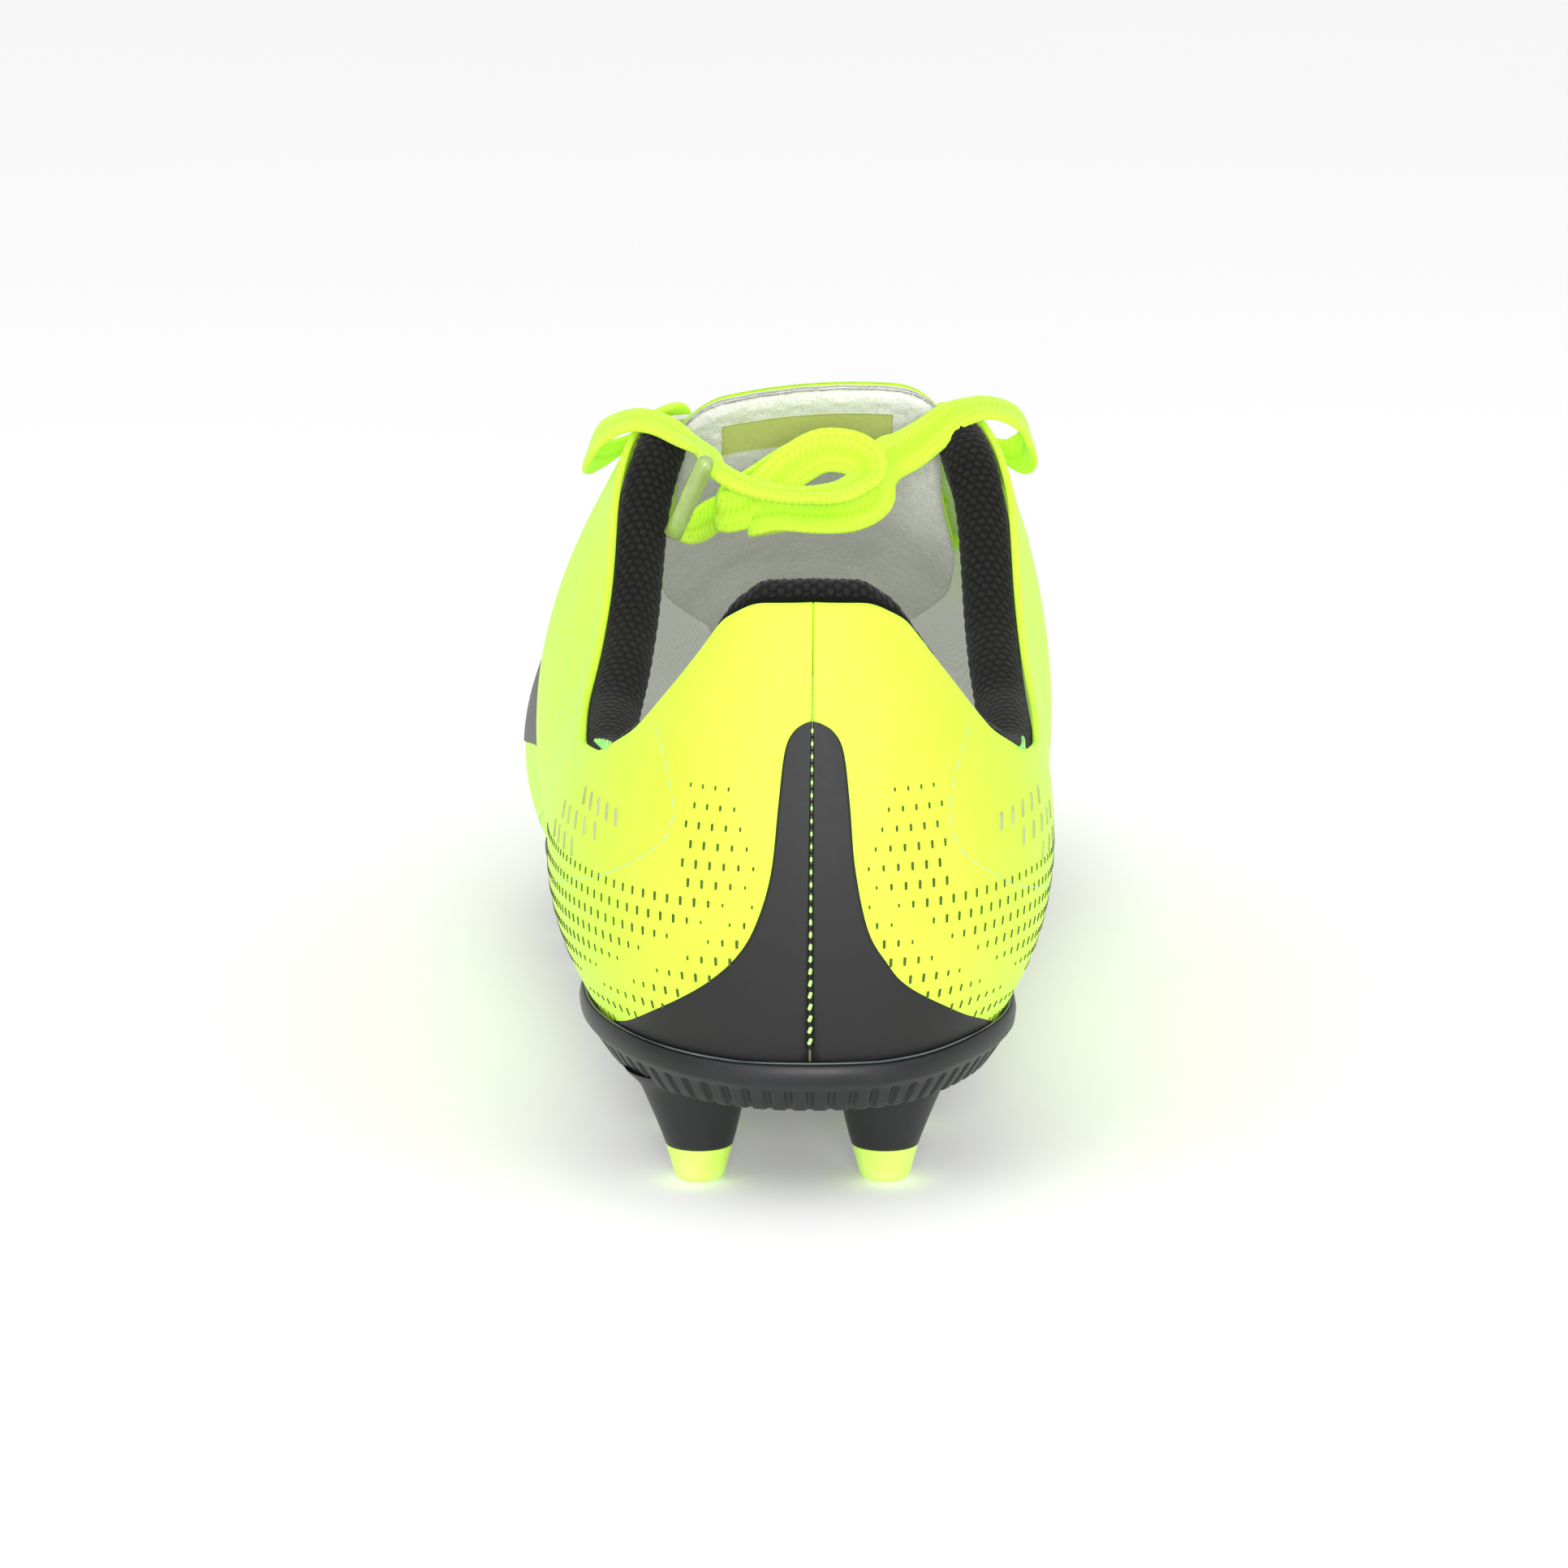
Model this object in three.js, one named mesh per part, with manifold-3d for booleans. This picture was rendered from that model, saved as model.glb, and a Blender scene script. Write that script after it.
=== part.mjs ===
// A left football boot for firm ground, size 42: laced upper, padded collar, plate with twelve studs.
// Millimetres. X runs from the lateral to the medial side, Y from the heel to the toe, Z up.
// Z = 0 is the ground under the studs, and X = Y = 0 is the middle of the boot's outline.
import * as THREE from "three";
import { mergeVertices } from "three/addons/utils/BufferGeometryUtils.js";
import Module from "manifold-3d";

const wasm = await Module();
wasm.setup();

// ---- Driving dimensions ----
const LAST_LENGTH = 267; // heel to toe of the line where the upper meets the plate
const BALL_WIDTH = 80; // that line's width across the ball of the foot
const CONE_HEIGHT = 90; // last's height above its seat at the heel
const SEAT_HEIGHT = 21.5; // ground to the upper's lower edge at the heel
const GAP = 0.3; // clearance between pieces that touch
const FACET_GAP = 0.6; // clearance between curved layers at the base size, which also covers their facets
const SKIN = 1.5; // outer skin of the upper
const LINING = 1.0; // inner lining
const COUNTER = 1.6; // moulded heel counter
const PUFF = 1.0; // toe puff
const FILM = 0.5; // film bonded on the skin
const EYESTAY = 1.0; // backing of the eyelets
const EYESTAY_WIDTH = 15; // its reach from the throat's edge
const PAD = 7.5; // collar padding at its thickest
const PLATE_HEEL = 6; // plate's thickness under the heel
const PLATE_FRONT = 4.2; // plate's thickness under the toes
const PLATE_TAPER = 5; // how far the plate's wall leans in
const BOARD = 1.2; // insole board
const FOAM = 3.6; // insole foam
const CLOTH = 0.6; // insole top cloth
const STUD_ROOT = 8; // stud's radius at the plate
const STUD_NECK = 4.9; // stud's radius where its tip begins
const STUD_FOOT = 3.7; // tip's radius on the ground
const TIP_HEIGHT = 5.3; // stud tip's height
const EYELETS = 6; // eyelets on each side
const LACE_WIDTH = 3.2; // the laced part, bunched by the eyelets
const LACE_THICKNESS = 1.6;
const EYELET_FIT = 1.8; // an eyelet's room beside the lace
const END_RADIUS = 1.95; // the lace's free ends, as a round cord of the same area

// ---- The last ----
// Sections of the last from heel to toe, in millimetres at a length of 267, a width of 80 and a height of 90.
const BASE = { length: 267, width: 80, height: 90 };
const SECTIONS = [
  // along, lateral, medial, rise, topX, topHalf, topAlong, topRise, bulgeOut, bulgeIn, shoulder, drop, lift
  [0, 2.5, 2.5, 0, 3, 0, 4, 90, 9, 9, 3, 0.4, 0.34],
  [2, -9.5, 14.5, 0.3, 3, 9, 6, 90, 10, 10, 3, 0.4, 0.34],
  [9, -19.5, 23, 1, 3.5, 15, 13, 90, 12, 13, 3, 0.4, 0.34],
  [22, -26.5, 29.5, 1.5, 4, 19, 25, 90, 14, 15, 3, 0.4, 0.34],
  [40, -29.5, 31, 1, 4.5, 21.5, 41, 90, 16, 16, 3, 0.4, 0.34],
  [62, -29.5, 29, -0.5, 4.5, 24.5, 60, 90, 18, 18, 3, 0.4, 0.34],
  [86, -29.5, 27.5, -2, 3.5, 26.5, 79, 89, 20, 21, 7, 0.34, 0.36],
  [110, -31.5, 28, -3.5, 3, 18, 96, 86, 21, 21, 17, 0.16, 0.4],
  [134, -35, 30.5, -5, 2.5, 0, 119, 76, 20, 20, 31, 0.06, 0.44],
  [158, -39, 35, -5.8, 2, 0, 145, 64, 19, 18, 31, 0.03, 0.44],
  [182, -41, 38.5, -6, 2, 0, 171, 52, 17, 17, 27, 0.03, 0.44],
  [205, -39.5, 40.5, -5, 2.5, 0, 196, 43, 16, 15, 26, 0.03, 0.44],
  [228, -33.5, 38.5, -2.3, 3.5, 0, 218, 37, 15, 14, 23, 0.03, 0.44],
  [248, -22.5, 31.5, 1.2, 5, 0, 234, 33, 14, 14, 19, 0.03, 0.44],
  [262, -8.5, 19.5, 4, 6, 0, 243, 30, 14, 14, 15, 0.03, 0.44],
  [267, 6, 6, 5.2, 6, 0, 246, 29, 14, 14, 13, 0.03, 0.44],
];
const ALONG = 0, LATERAL = 1, MEDIAL = 2, RISE = 3, TOP_X = 4, TOP_HALF = 5, TOP_ALONG = 6, TOP_RISE = 7;
const BULGE_OUT = 8, BULGE_IN = 9, SHOULDER = 10, DROP = 11, LIFT = 12;
const TOE = SECTIONS.length - 1;
const LENGTHWISE = LAST_LENGTH / BASE.length;
const SIDEWAYS = BALL_WIDTH / BASE.width;
const UPWARD = CONE_HEIGHT / BASE.height;

// Facets grow with the last, and so does the gap that covers them.
const LAYER_GAP = FACET_GAP * Math.max(LENGTHWISE, SIDEWAYS, UPWARD);

// A point given at the base size.
const BASE_SEAT = 21.5; // seat height that these points are given for
function at(x, y, z) {
  return new THREE.Vector3(x * SIDEWAYS, y * LENGTHWISE, SEAT_HEIGHT + (z - BASE_SEAT) * UPWARD);
}

const clamp = (v, low, high) => Math.min(high, Math.max(low, v));
const mix = (a, b, t) => a + (b - a) * t;
const smooth = (v, from, to) => THREE.MathUtils.smoothstep(v, from, to);

// A column of SECTIONS at a station s, as a smooth curve.
// The outline goes on round the ends with the other side.
function column(key, s, otherSide = key) {
  const i = clamp(Math.floor(s), 0, TOE - 1);
  const a = i > 0 ? SECTIONS[i - 1][key] : SECTIONS[1][otherSide];
  const d = i < TOE - 1 ? SECTIONS[i + 2][key] : SECTIONS[TOE - 1][otherSide];
  const b = SECTIONS[i][key];
  const c = SECTIONS[i + 1][key];
  const t = s - i;
  return b + 0.5 * t * (c - a + t * (2 * a - 5 * b + 4 * c - d + t * (3 * (b - c) + d - a)));
}

// The lower edge's outline. Past either end it continues along the other side.
function outline(side, s) {
  const past = s < 0 || s > TOE;
  const station = s < 0 ? -s : s > TOE ? 2 * TOE - s : s;
  const [near, far] = (side < 0) !== past ? [LATERAL, MEDIAL] : [MEDIAL, LATERAL];
  return new THREE.Vector2(column(near, station, far) * SIDEWAYS, column(ALONG, station) * LENGTHWISE);
}

// The outline's outward normal.
function outward(side, s) {
  const step = 0.02;
  const d = outline(side, s + step).sub(outline(side, s - step)).normalize();
  return side < 0 ? new THREE.Vector2(-d.y, d.x) : new THREE.Vector2(d.y, -d.x);
}

const edgeHeight = (s) => SEAT_HEIGHT + column(RISE, s);
const ridgeX = (s) => column(TOP_X, s) * SIDEWAYS;

// A point on the last: side -1 or 1, station s from heel to toe, w from the lower edge (0) to the top (1).
function lastPoint(side, s, w) {
  const p = outline(side, s);
  const n = outward(side, s);
  const low = edgeHeight(s);
  const topX = ridgeX(s) + side * Math.max(0, column(TOP_HALF, s)) * SIDEWAYS;
  const topY = column(TOP_ALONG, s) * LENGTHWISE;
  const topZ = SEAT_HEIGHT + column(TOP_RISE, s) * UPWARD;
  const height = topZ - low;
  const bulge = column(side < 0 ? BULGE_OUT : BULGE_IN, s) * SIDEWAYS;
  const shoulder = column(SHOULDER, s) * SIDEWAYS;
  return new THREE.CubicBezierCurve3(
    new THREE.Vector3(p.x, p.y, low),
    new THREE.Vector3(p.x + n.x * bulge, p.y + n.y * bulge, low + column(LIFT, s) * height),
    new THREE.Vector3(topX + n.x * shoulder, topY + n.y * shoulder, topZ - column(DROP, s) * height),
    new THREE.Vector3(topX, topY, topZ),
  ).getPoint(w);
}

// The same point moved inwards by a depth, square to the last's surface.
function skinPoint(side, s, w, depth) {
  const step = 0.01;
  const along = lastPoint(side, s + step, w).sub(lastPoint(side, s - step, w));
  const up = lastPoint(side, s, Math.min(1, w + step)).sub(lastPoint(side, s, Math.max(0, w - step)));
  const normal = along.cross(up).normalize().multiplyScalar(side);
  return lastPoint(side, s, w).addScaledVector(normal, -depth);
}

// The largest w for which a rule holds, found by halving.
function highest(rule) {
  let [low, high] = [0, 1];
  for (let i = 0; i < 24; i++) {
    const middle = (low + high) / 2;
    if (rule(middle)) low = middle;
    else high = middle;
  }
  return low;
}

// ---- The upper's edges ----
// Top line's height above the seat at stations, at the base height.
const TOP_LINE = [
  [0, 66.5], [0.8, 66.2], [1.3, 63.5], [1.8, 56], [2.4, 46.5], [3, 41.5], [3.7, 40.5],
  [4.4, 45], [5, 53.5], [5.6, 66], [6.1, 75.5], [6.6, 80.5], [7.4, 83],
];
const THROAT_OPENS = 6.6; // station where the throat is widest
const THROAT_TOP = 7.3; // station where its edges meet the top line
const THROAT_END = 9.9;
const THROAT_WIDE = 22; // half its width there
const THROAT_NARROW = 8; // and half its width at the end
const COLLAR_ONLY = 6.3; // stations behind this have no throat
const FLEX_START = 10.25; // station where the rear body ends
const FLEX_FRONT = 10.75; // station where the forefoot begins, at the lower edge
const FLEX_OPENS = 0.85; // how much farther forward it begins at the ridge

function topLine(s) {
  const i = clamp(TOP_LINE.findIndex(([station]) => station > s), 1, TOP_LINE.length - 1);
  const [[s0, h0], [s1, h1]] = [TOP_LINE[i - 1], TOP_LINE[i]];
  return SEAT_HEIGHT + mix(h0, h1, clamp((s - s0) / (s1 - s0), 0, 1)) * UPWARD;
}

// Half the width of the throat, which closes past its lower end into a seam.
// A thicker skin needs a wider seam, since its inner faces come closer.
function throatHalf(s) {
  const share = clamp((s - THROAT_OPENS) / (THROAT_END - THROAT_OPENS), 0, 1);
  return s < THROAT_END ? mix(THROAT_WIDE, THROAT_NARROW, share) * SIDEWAYS : SKIN / 10;
}

function topEdge(side, s) {
  const underTopLine = s > THROAT_TOP ? 1 : highest((w) => lastPoint(side, s, w).z < topLine(s));
  const fromRidge = (w) => side * (lastPoint(side, s, w).x - ridgeX(s));
  const besideThroat = s < COLLAR_ONLY ? 1 : highest((w) => fromRidge(w) > throatHalf(s));
  return Math.min(underTopLine, besideThroat);
}

// Depth of the lining's outer face: behind the counter at the heel and the puff at the toe.
const COUNTER_END = 3.7; // station where the counter ends
const PUFF_START = 13.3; // station where the puff begins
function liningDepth(s) {
  const behindCounter = (COUNTER + LAYER_GAP) * (1 - smooth(s, COUNTER_END + 0.1, COUNTER_END + 1.1));
  const behindPuff = (PUFF + LAYER_GAP) * smooth(s, PUFF_START - 0.9, PUFF_START - 0.2);
  return SKIN + LAYER_GAP + behindCounter + behindPuff;
}
const FIT = 0.5; // clearance between the insole and the lining
const insoleInset = (s) => liningDepth(s) + LINING + FIT;

// ---- Solids ----
const root = new THREE.Group();

function material(color, roughness, metalness = 0) {
  return new THREE.MeshStandardMaterial({ color, roughness, metalness });
}

const LOOKS = {
  skin: () => material(0xe6f53c, 0.55),
  film: () => material(0x3c3d3a, 0.45),
  plate: () => material(0x232426, 0.5),
  tip: () => material(0xd2f06a, 0.35),
  mesh: () => material(0x1c1b19, 0.9),
  lining: () => material(0xa9aa9a, 0.9),
  felt: () => material(0xe4e4de, 0.95),
  lace: () => material(0xcff04e, 0.8),
  board: () => material(0xb9b2a0, 0.85),
  foam: () => material(0x4a4b4c, 0.9),
  counter: () => material(0xd8d6cc, 0.6),
  clear: () => material(0xe8edc0, 0.2),
  label: () => material(0x6e7a1c, 0.6),
  thread: () => material(0xd6f5b8, 0.7),
};

function addMesh(name, geometry, look) {
  const mesh = new THREE.Mesh(geometry, LOOKS[look]());
  mesh.name = name;
  root.add(mesh);
  return mesh;
}

// Closed geometry from triangles of points.
// Equal points are joined, flat triangles dropped and the faces turned outwards.
function closed(triangles) {
  const soup = new THREE.BufferGeometry().setFromPoints(triangles.flat());
  const merged = mergeVertices(soup, 1e-3);
  const index = merged.index.array;
  const kept = [];
  for (let i = 0; i < index.length; i += 3) {
    const [a, b, c] = index.slice(i, i + 3);
    if (a !== b && b !== c && a !== c) kept.push(a, b, c);
  }
  const position = merged.getAttribute("position");
  const corner = (i) => new THREE.Vector3().fromBufferAttribute(position, i);
  let volume = 0;
  for (let i = 0; i < kept.length; i += 3) {
    volume += corner(kept[i]).dot(corner(kept[i + 1]).cross(corner(kept[i + 2])));
  }
  return merged.setIndex(volume < 0 ? kept.reverse() : kept);
}

const quad = (a, b, c, d) => [[a, b, c], [a, c, d]];

// A slab from two grids of points. place(a, b, inner) gives a point for a and b from 0 to 1.
// A zipped slab has its last column folded onto itself, so that edge has no rim.
function slab(columns, rows, place, zipped = false) {
  const grid = (inner) => Array.from({ length: columns + 1 }, (_, i) =>
    Array.from({ length: rows + 1 }, (_, j) => place(i / columns, j / rows, inner)));
  const [outer, inner] = [grid(false), grid(true)];
  const faces = [];
  for (let i = 0; i < columns; i++) {
    for (let j = 0; j < rows; j++) {
      faces.push(...quad(outer[i][j], outer[i + 1][j], outer[i + 1][j + 1], outer[i][j + 1]));
      faces.push(...quad(inner[i][j], inner[i][j + 1], inner[i + 1][j + 1], inner[i + 1][j]));
    }
    faces.push(...quad(outer[i][0], inner[i][0], inner[i + 1][0], outer[i + 1][0]));
    faces.push(...quad(outer[i][rows], outer[i + 1][rows], inner[i + 1][rows], inner[i][rows]));
  }
  for (let j = 0; j < rows; j++) {
    faces.push(...quad(outer[0][j], outer[0][j + 1], inner[0][j + 1], inner[0][j]));
    if (!zipped) {
      faces.push(...quad(outer[columns][j], inner[columns][j], inner[columns][j + 1], outer[columns][j + 1]));
    }
  }
  return closed(faces);
}

// A slab that follows the last between two depths. locate(a, b) gives [side, station, w].
function shell(columns, rows, locate, depths, zipped = false) {
  return slab(columns, rows, (a, b, inner) => {
    const [side, s, w] = locate(a, b);
    const [shallow, deep] = depths(s, w, b);
    return skinPoint(side, s, w, inner ? deep : shallow);
  }, zipped);
}

// A station counted from the heel's centre line, negative on the lateral side.
const fromHeel = (signed, w) => [signed < 0 ? -1 : 1, Math.abs(signed), w];

// A place counted across the ridge, u from -1 at the lateral edge to 1 at the medial edge.
function acrossRidge(s, u) {
  const folded = s > TOE - 1e-6;
  return [folded || u < 0 ? -1 : 1, s, 1 - Math.abs(u)];
}

// The station whose outline lies at y.
const stationAlong = (y) => highest((t) => column(ALONG, t * TOE) * LENGTHWISE < y) * TOE;

// A plate between two stations, stacked from levels: inset(station) from the outline, and height(station).
// The height is read where the inset edge lies, so that stacked plates stay parallel.
function plate(from, to, steps, levels) {
  const station = (i) => mix(from, to, i / steps);
  const edge = (side, level) => Array.from({ length: steps + 1 }, (_, i) => {
    const s = station(i);
    const p = outline(side, s).addScaledVector(outward(side, s), -level.inset(s));
    return new THREE.Vector3(p.x, p.y, level.height(stationAlong(p.y)));
  });
  const rings = levels.map((level) => ({ left: edge(-1, level), right: edge(1, level) }));
  const faces = [];
  const cap = ({ left, right }, flip) => {
    for (let i = 0; i < steps; i++) {
      const square = [left[i], right[i], right[i + 1], left[i + 1]];
      faces.push(...quad(...(flip ? square.reverse() : square)));
    }
  };
  cap(rings[0], false);
  cap(rings[rings.length - 1], true);
  for (let k = 0; k + 1 < rings.length; k++) {
    const loop = ({ left, right }) => [...left, ...right.slice().reverse()];
    const [upper, lower] = [loop(rings[k]), loop(rings[k + 1])];
    for (let i = 0; i < upper.length; i++) {
      const next = (i + 1) % upper.length;
      faces.push(...quad(upper[i], upper[next], lower[next], lower[i]));
    }
  }
  return closed(faces);
}

// A flat cord swept along points, each with the direction that its broad face looks in.
function ribbon(points, facing, width, thickness) {
  const quarterSection = [[1, 0.35], [0.8, 1], [-0.8, 1], [-1, 0.35]];
  const section = [...quarterSection, ...quarterSection.map(([x, z]) => [-x, -z])];
  const rings = points.map((point, i) => {
    const ahead = points[Math.min(i + 1, points.length - 1)];
    const behind = points[Math.max(i - 1, 0)];
    const along = ahead.clone().sub(behind).normalize();
    const across = along.clone().cross(facing[i]).normalize();
    const up = across.clone().cross(along);
    return section.map(([x, z]) => point.clone()
      .addScaledVector(across, (x * width) / 2)
      .addScaledVector(up, (z * thickness) / 2));
  });
  const faces = [];
  const sides = section.length;
  for (let i = 0; i + 1 < rings.length; i++) {
    for (let k = 0; k < sides; k++) {
      const next = (k + 1) % sides;
      faces.push(...quad(rings[i][k], rings[i][next], rings[i + 1][next], rings[i + 1][k]));
    }
  }
  for (let k = 1; k + 1 < sides; k++) {
    faces.push([rings[0][0], rings[0][k + 1], rings[0][k]]);
    faces.push([rings.at(-1)[0], rings.at(-1)[k], rings.at(-1)[k + 1]]);
  }
  return closed(faces);
}

// ---- Joins and cuts ----
function solidOf(geometry) {
  const plain = geometry.clone();
  plain.deleteAttribute("normal");
  plain.deleteAttribute("uv");
  const merged = mergeVertices(plain, 1e-4);
  return new wasm.Manifold(new wasm.Mesh({
    numProp: 3,
    vertProperties: merged.getAttribute("position").array,
    triVerts: new Uint32Array(merged.index.array),
  }));
}

function geometryOf(solid) {
  const mesh = solid.getMesh();
  return new THREE.BufferGeometry()
    .setAttribute("position", new THREE.BufferAttribute(mesh.vertProperties, 3))
    .setIndex(new THREE.BufferAttribute(mesh.triVerts, 1));
}

// ---- Sole unit ----
const plateThickness = (s) => mix(PLATE_HEEL, PLATE_FRONT, smooth(s, 5, 9));
const plateTop = (s) => edgeHeight(s) - GAP;
const plateBottom = (s) => edgeHeight(s) - plateThickness(s);
const PLATE_INSET = 0.4; // its upper edge, in from the outline
const BAND_INSET = 0.1; // the band under it
const BAND_HEIGHT = 1.2;
const PLATE_LEVELS = [
  { inset: () => PLATE_INSET, height: plateTop },
  { inset: () => BAND_INSET, height: (s) => plateTop(s) - BAND_HEIGHT },
  { inset: () => PLATE_TAPER * 0.55, height: (s) => mix(plateTop(s), plateBottom(s), 0.7) },
  { inset: () => PLATE_TAPER, height: plateBottom },
];

// Studs as [x, y] at the base size, from the heel forward.
const REAR_STUDS = {
  heel_rear: [[-13.5, 20], [13.5, 20]],
  heel_front: [[-14, 50], [14, 50]],
  waist: [[-28, 150], [24, 150]],
  ball: [[-32, 176], [30, 176]],
};
const FRONT_STUDS = {
  forefoot: [[-27, 213], [31, 213]],
  toe: [[-14, 238], [23, 240]],
};
const STUD_SINK = 1.5; // how far a stud's root reaches into the plate
const TIP_ROUND = 0.9; // rounding of a tip's foot

function lathe(profile, x, y) {
  const points = profile.map(([radius, z]) => new THREE.Vector2(radius, z));
  return new THREE.LatheGeometry(points, 12).rotateX(Math.PI / 2).translate(x, y, 0);
}

function studBlock(x, y) {
  const root = plateBottom(stationAlong(y));
  const neck = TIP_HEIGHT + GAP;
  return lathe([[0, neck], [STUD_NECK, neck], [mix(STUD_NECK, STUD_ROOT, 0.35), mix(neck, root, 0.6)],
    [STUD_ROOT, root], [STUD_ROOT, root + STUD_SINK], [0, root + STUD_SINK]], x, y);
}

function studTip(x, y) {
  const foot = [[0, 0], [STUD_FOOT - TIP_ROUND, 0], [STUD_FOOT, TIP_ROUND * 0.6]];
  return lathe([...foot, [STUD_NECK, TIP_HEIGHT], [0, TIP_HEIGHT]], x, y);
}

function placeStuds(plateGeometry, groups) {
  let solid = solidOf(plateGeometry);
  for (const [group, pair] of Object.entries(groups)) {
    pair.forEach(([x, y], i) => {
      solid = solid.add(solidOf(studBlock(x * SIDEWAYS, y * LENGTHWISE)));
      addMesh(`stud_tip_${group}_${["lateral", "medial"][i]}`, studTip(x * SIDEWAYS, y * LENGTHWISE), "tip");
    });
  }
  return geometryOf(solid);
}

const FLEX_SLIT = 0.03; // station step left between two plates
addMesh("outsole_rear", placeStuds(plate(0, FLEX_START, 24, PLATE_LEVELS), REAR_STUDS), "plate");
addMesh("outsole_flex", plate(FLEX_START + FLEX_SLIT, FLEX_FRONT - FLEX_SLIT, 3, PLATE_LEVELS), "plate");
addMesh("outsole_forefoot", placeStuds(plate(FLEX_FRONT, TOE, 16, PLATE_LEVELS), FRONT_STUDS), "plate");

function insoleLayer(name, low, thickness, extraInset, look) {
  const inset = (s) => insoleInset(s) + extraInset;
  addMesh(name, plate(0, TOE, 30, [
    { inset, height: (s) => edgeHeight(s) + low + thickness },
    { inset, height: (s) => edgeHeight(s) + low },
  ]), look);
}
insoleLayer("insole_board", 0, BOARD, 0, "board");
insoleLayer("insole_foam", BOARD + GAP, FOAM, GAP, "foam");
insoleLayer("insole_cloth", BOARD + FOAM + 2 * GAP, CLOTH, GAP, "lining");

// ---- Upper ----
const skinDepths = () => [0, SKIN];
const liningDepths = (s) => [liningDepth(s), liningDepth(s) + LINING];

// Eyelets run down the throat's edges.
const EYELET_RADIUS = LACE_WIDTH / 2 + EYELET_FIT;
const EYELET_INSET = EYELET_RADIUS + 3.1; // eyelet's centre to the throat's edge
const FIRST_EYELET = 7.4; // station of the highest pair
const LAST_EYELET = 9.55; // and of the lowest
const eyeletStation = (k) => mix(FIRST_EYELET, LAST_EYELET, k / (EYELETS - 1));
function belowEdge(side, s, distance) {
  const top = topEdge(side, s);
  const start = lastPoint(side, s, top);
  return highest((w) => w < top && lastPoint(side, s, w).distanceTo(start) > distance);
}
function eyelet(side, k, depth) {
  const s = eyeletStation(k);
  return skinPoint(side, s, belowEdge(side, s, EYELET_INSET), depth);
}
const DRILL_OUT = 3; // the cut starts this far outside the skin
const DRILL_IN = SKIN + EYESTAY + 4.5; // and ends this far inside it
function cutEyelets(geometry, side) {
  let solid = solidOf(geometry);
  for (let k = 0; k < EYELETS; k++) {
    const [outside, inside] = [eyelet(side, k, -DRILL_OUT), eyelet(side, k, DRILL_IN)];
    const drill = new THREE.CylinderGeometry(EYELET_RADIUS, EYELET_RADIUS, outside.distanceTo(inside), 10);
    const turn = new THREE.Quaternion().setFromUnitVectors(
      new THREE.Vector3(0, 1, 0), outside.clone().sub(inside).normalize());
    const middle = outside.clone().add(inside).multiplyScalar(0.5);
    drill.applyQuaternion(turn).translate(middle.x, middle.y, middle.z);
    solid = solid.subtract(solidOf(drill));
  }
  return geometryOf(solid);
}

const SIDES = [["lateral", -1], ["medial", 1]];
// Stations left free on each side of the heel's centre line, where a thicker skin's inner faces come closer.
const SEAM = SKIN / 75;

// Stations of a quarter's columns, closer together where the throat ends.
function quarterStation(a) {
  const [turn, station] = [0.9, THROAT_END - 0.06];
  return a < turn ? mix(SEAM, station, a / turn) : mix(station, FLEX_START, (a - turn) / (1 - turn));
}

for (const [name, side] of SIDES) {
  const quarter = shell(32, 8, (a, b) => {
    const s = quarterStation(a);
    return [side, s, b * topEdge(side, s)];
  }, skinDepths);
  addMesh(`quarter_${name}`, cutEyelets(quarter, side), "skin");
}

// The vamp: a flexing band over the ball, then the forefoot up to the toe.
const vampStart = (u) => FLEX_FRONT + FLEX_OPENS * (1 - Math.abs(u));
addMesh("vamp_flex", shell(4, 16, (a, b) => {
  const u = mix(-1, 1, b);
  return acrossRidge(mix(FLEX_START + FLEX_SLIT, vampStart(u) - FLEX_SLIT, a), u);
}, skinDepths), "skin");
addMesh("vamp_toe", shell(12, 16, (a, b) => {
  const u = mix(-1, 1, b);
  return acrossRidge(mix(vampStart(u), TOE, a), u);
}, skinDepths, true), "skin");

// Toe puff and its lining.
const puffDepths = () => [SKIN + LAYER_GAP, SKIN + LAYER_GAP + PUFF];
addMesh("toe_puff", shell(5, 10, (a, b) => {
  const u = mix(-0.94, 0.94, b);
  return acrossRidge(mix(PUFF_START, TOE, a), u);
}, puffDepths, true), "counter");
addMesh("lining_toe", shell(10, 12, (a, b) => {
  const u = mix(-0.97, 0.97, b);
  return acrossRidge(mix(vampStart(u) + 0.05, TOE, a), u);
}, liningDepths, true), "lining");
addMesh("lining_flex", shell(4, 12, (a, b) => {
  const u = mix(-0.97, 0.97, b);
  return acrossRidge(mix(FLEX_START + FLEX_SLIT, vampStart(u), a), u);
}, liningDepths), "lining");

// The collar's pads reach down the wall by this share of the cone.
const PAD_DEPTH = 26 / CONE_HEIGHT;
const padBottom = (side, s) => topEdge(side, s) - PAD_DEPTH;

// Heel counter, moulded round the heel.
const COUNTER_TOP = 0.44;
const COUNTER_UNDER_PAD = 0.25; // share of a pad's depth that the counter reaches behind it
function counterTop(s) {
  const behindPad = Math.min(padBottom(1, s), padBottom(-1, s)) + COUNTER_UNDER_PAD * PAD_DEPTH;
  return Math.min(COUNTER_TOP, behindPad);
}
addMesh("heel_counter", shell(18, 4, (a, b) => {
  const signed = mix(-COUNTER_END, COUNTER_END, a);
  return fromHeel(signed, b * counterTop(Math.abs(signed)));
}, () => [SKIN + LAYER_GAP, SKIN + LAYER_GAP + COUNTER]), "counter");

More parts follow.
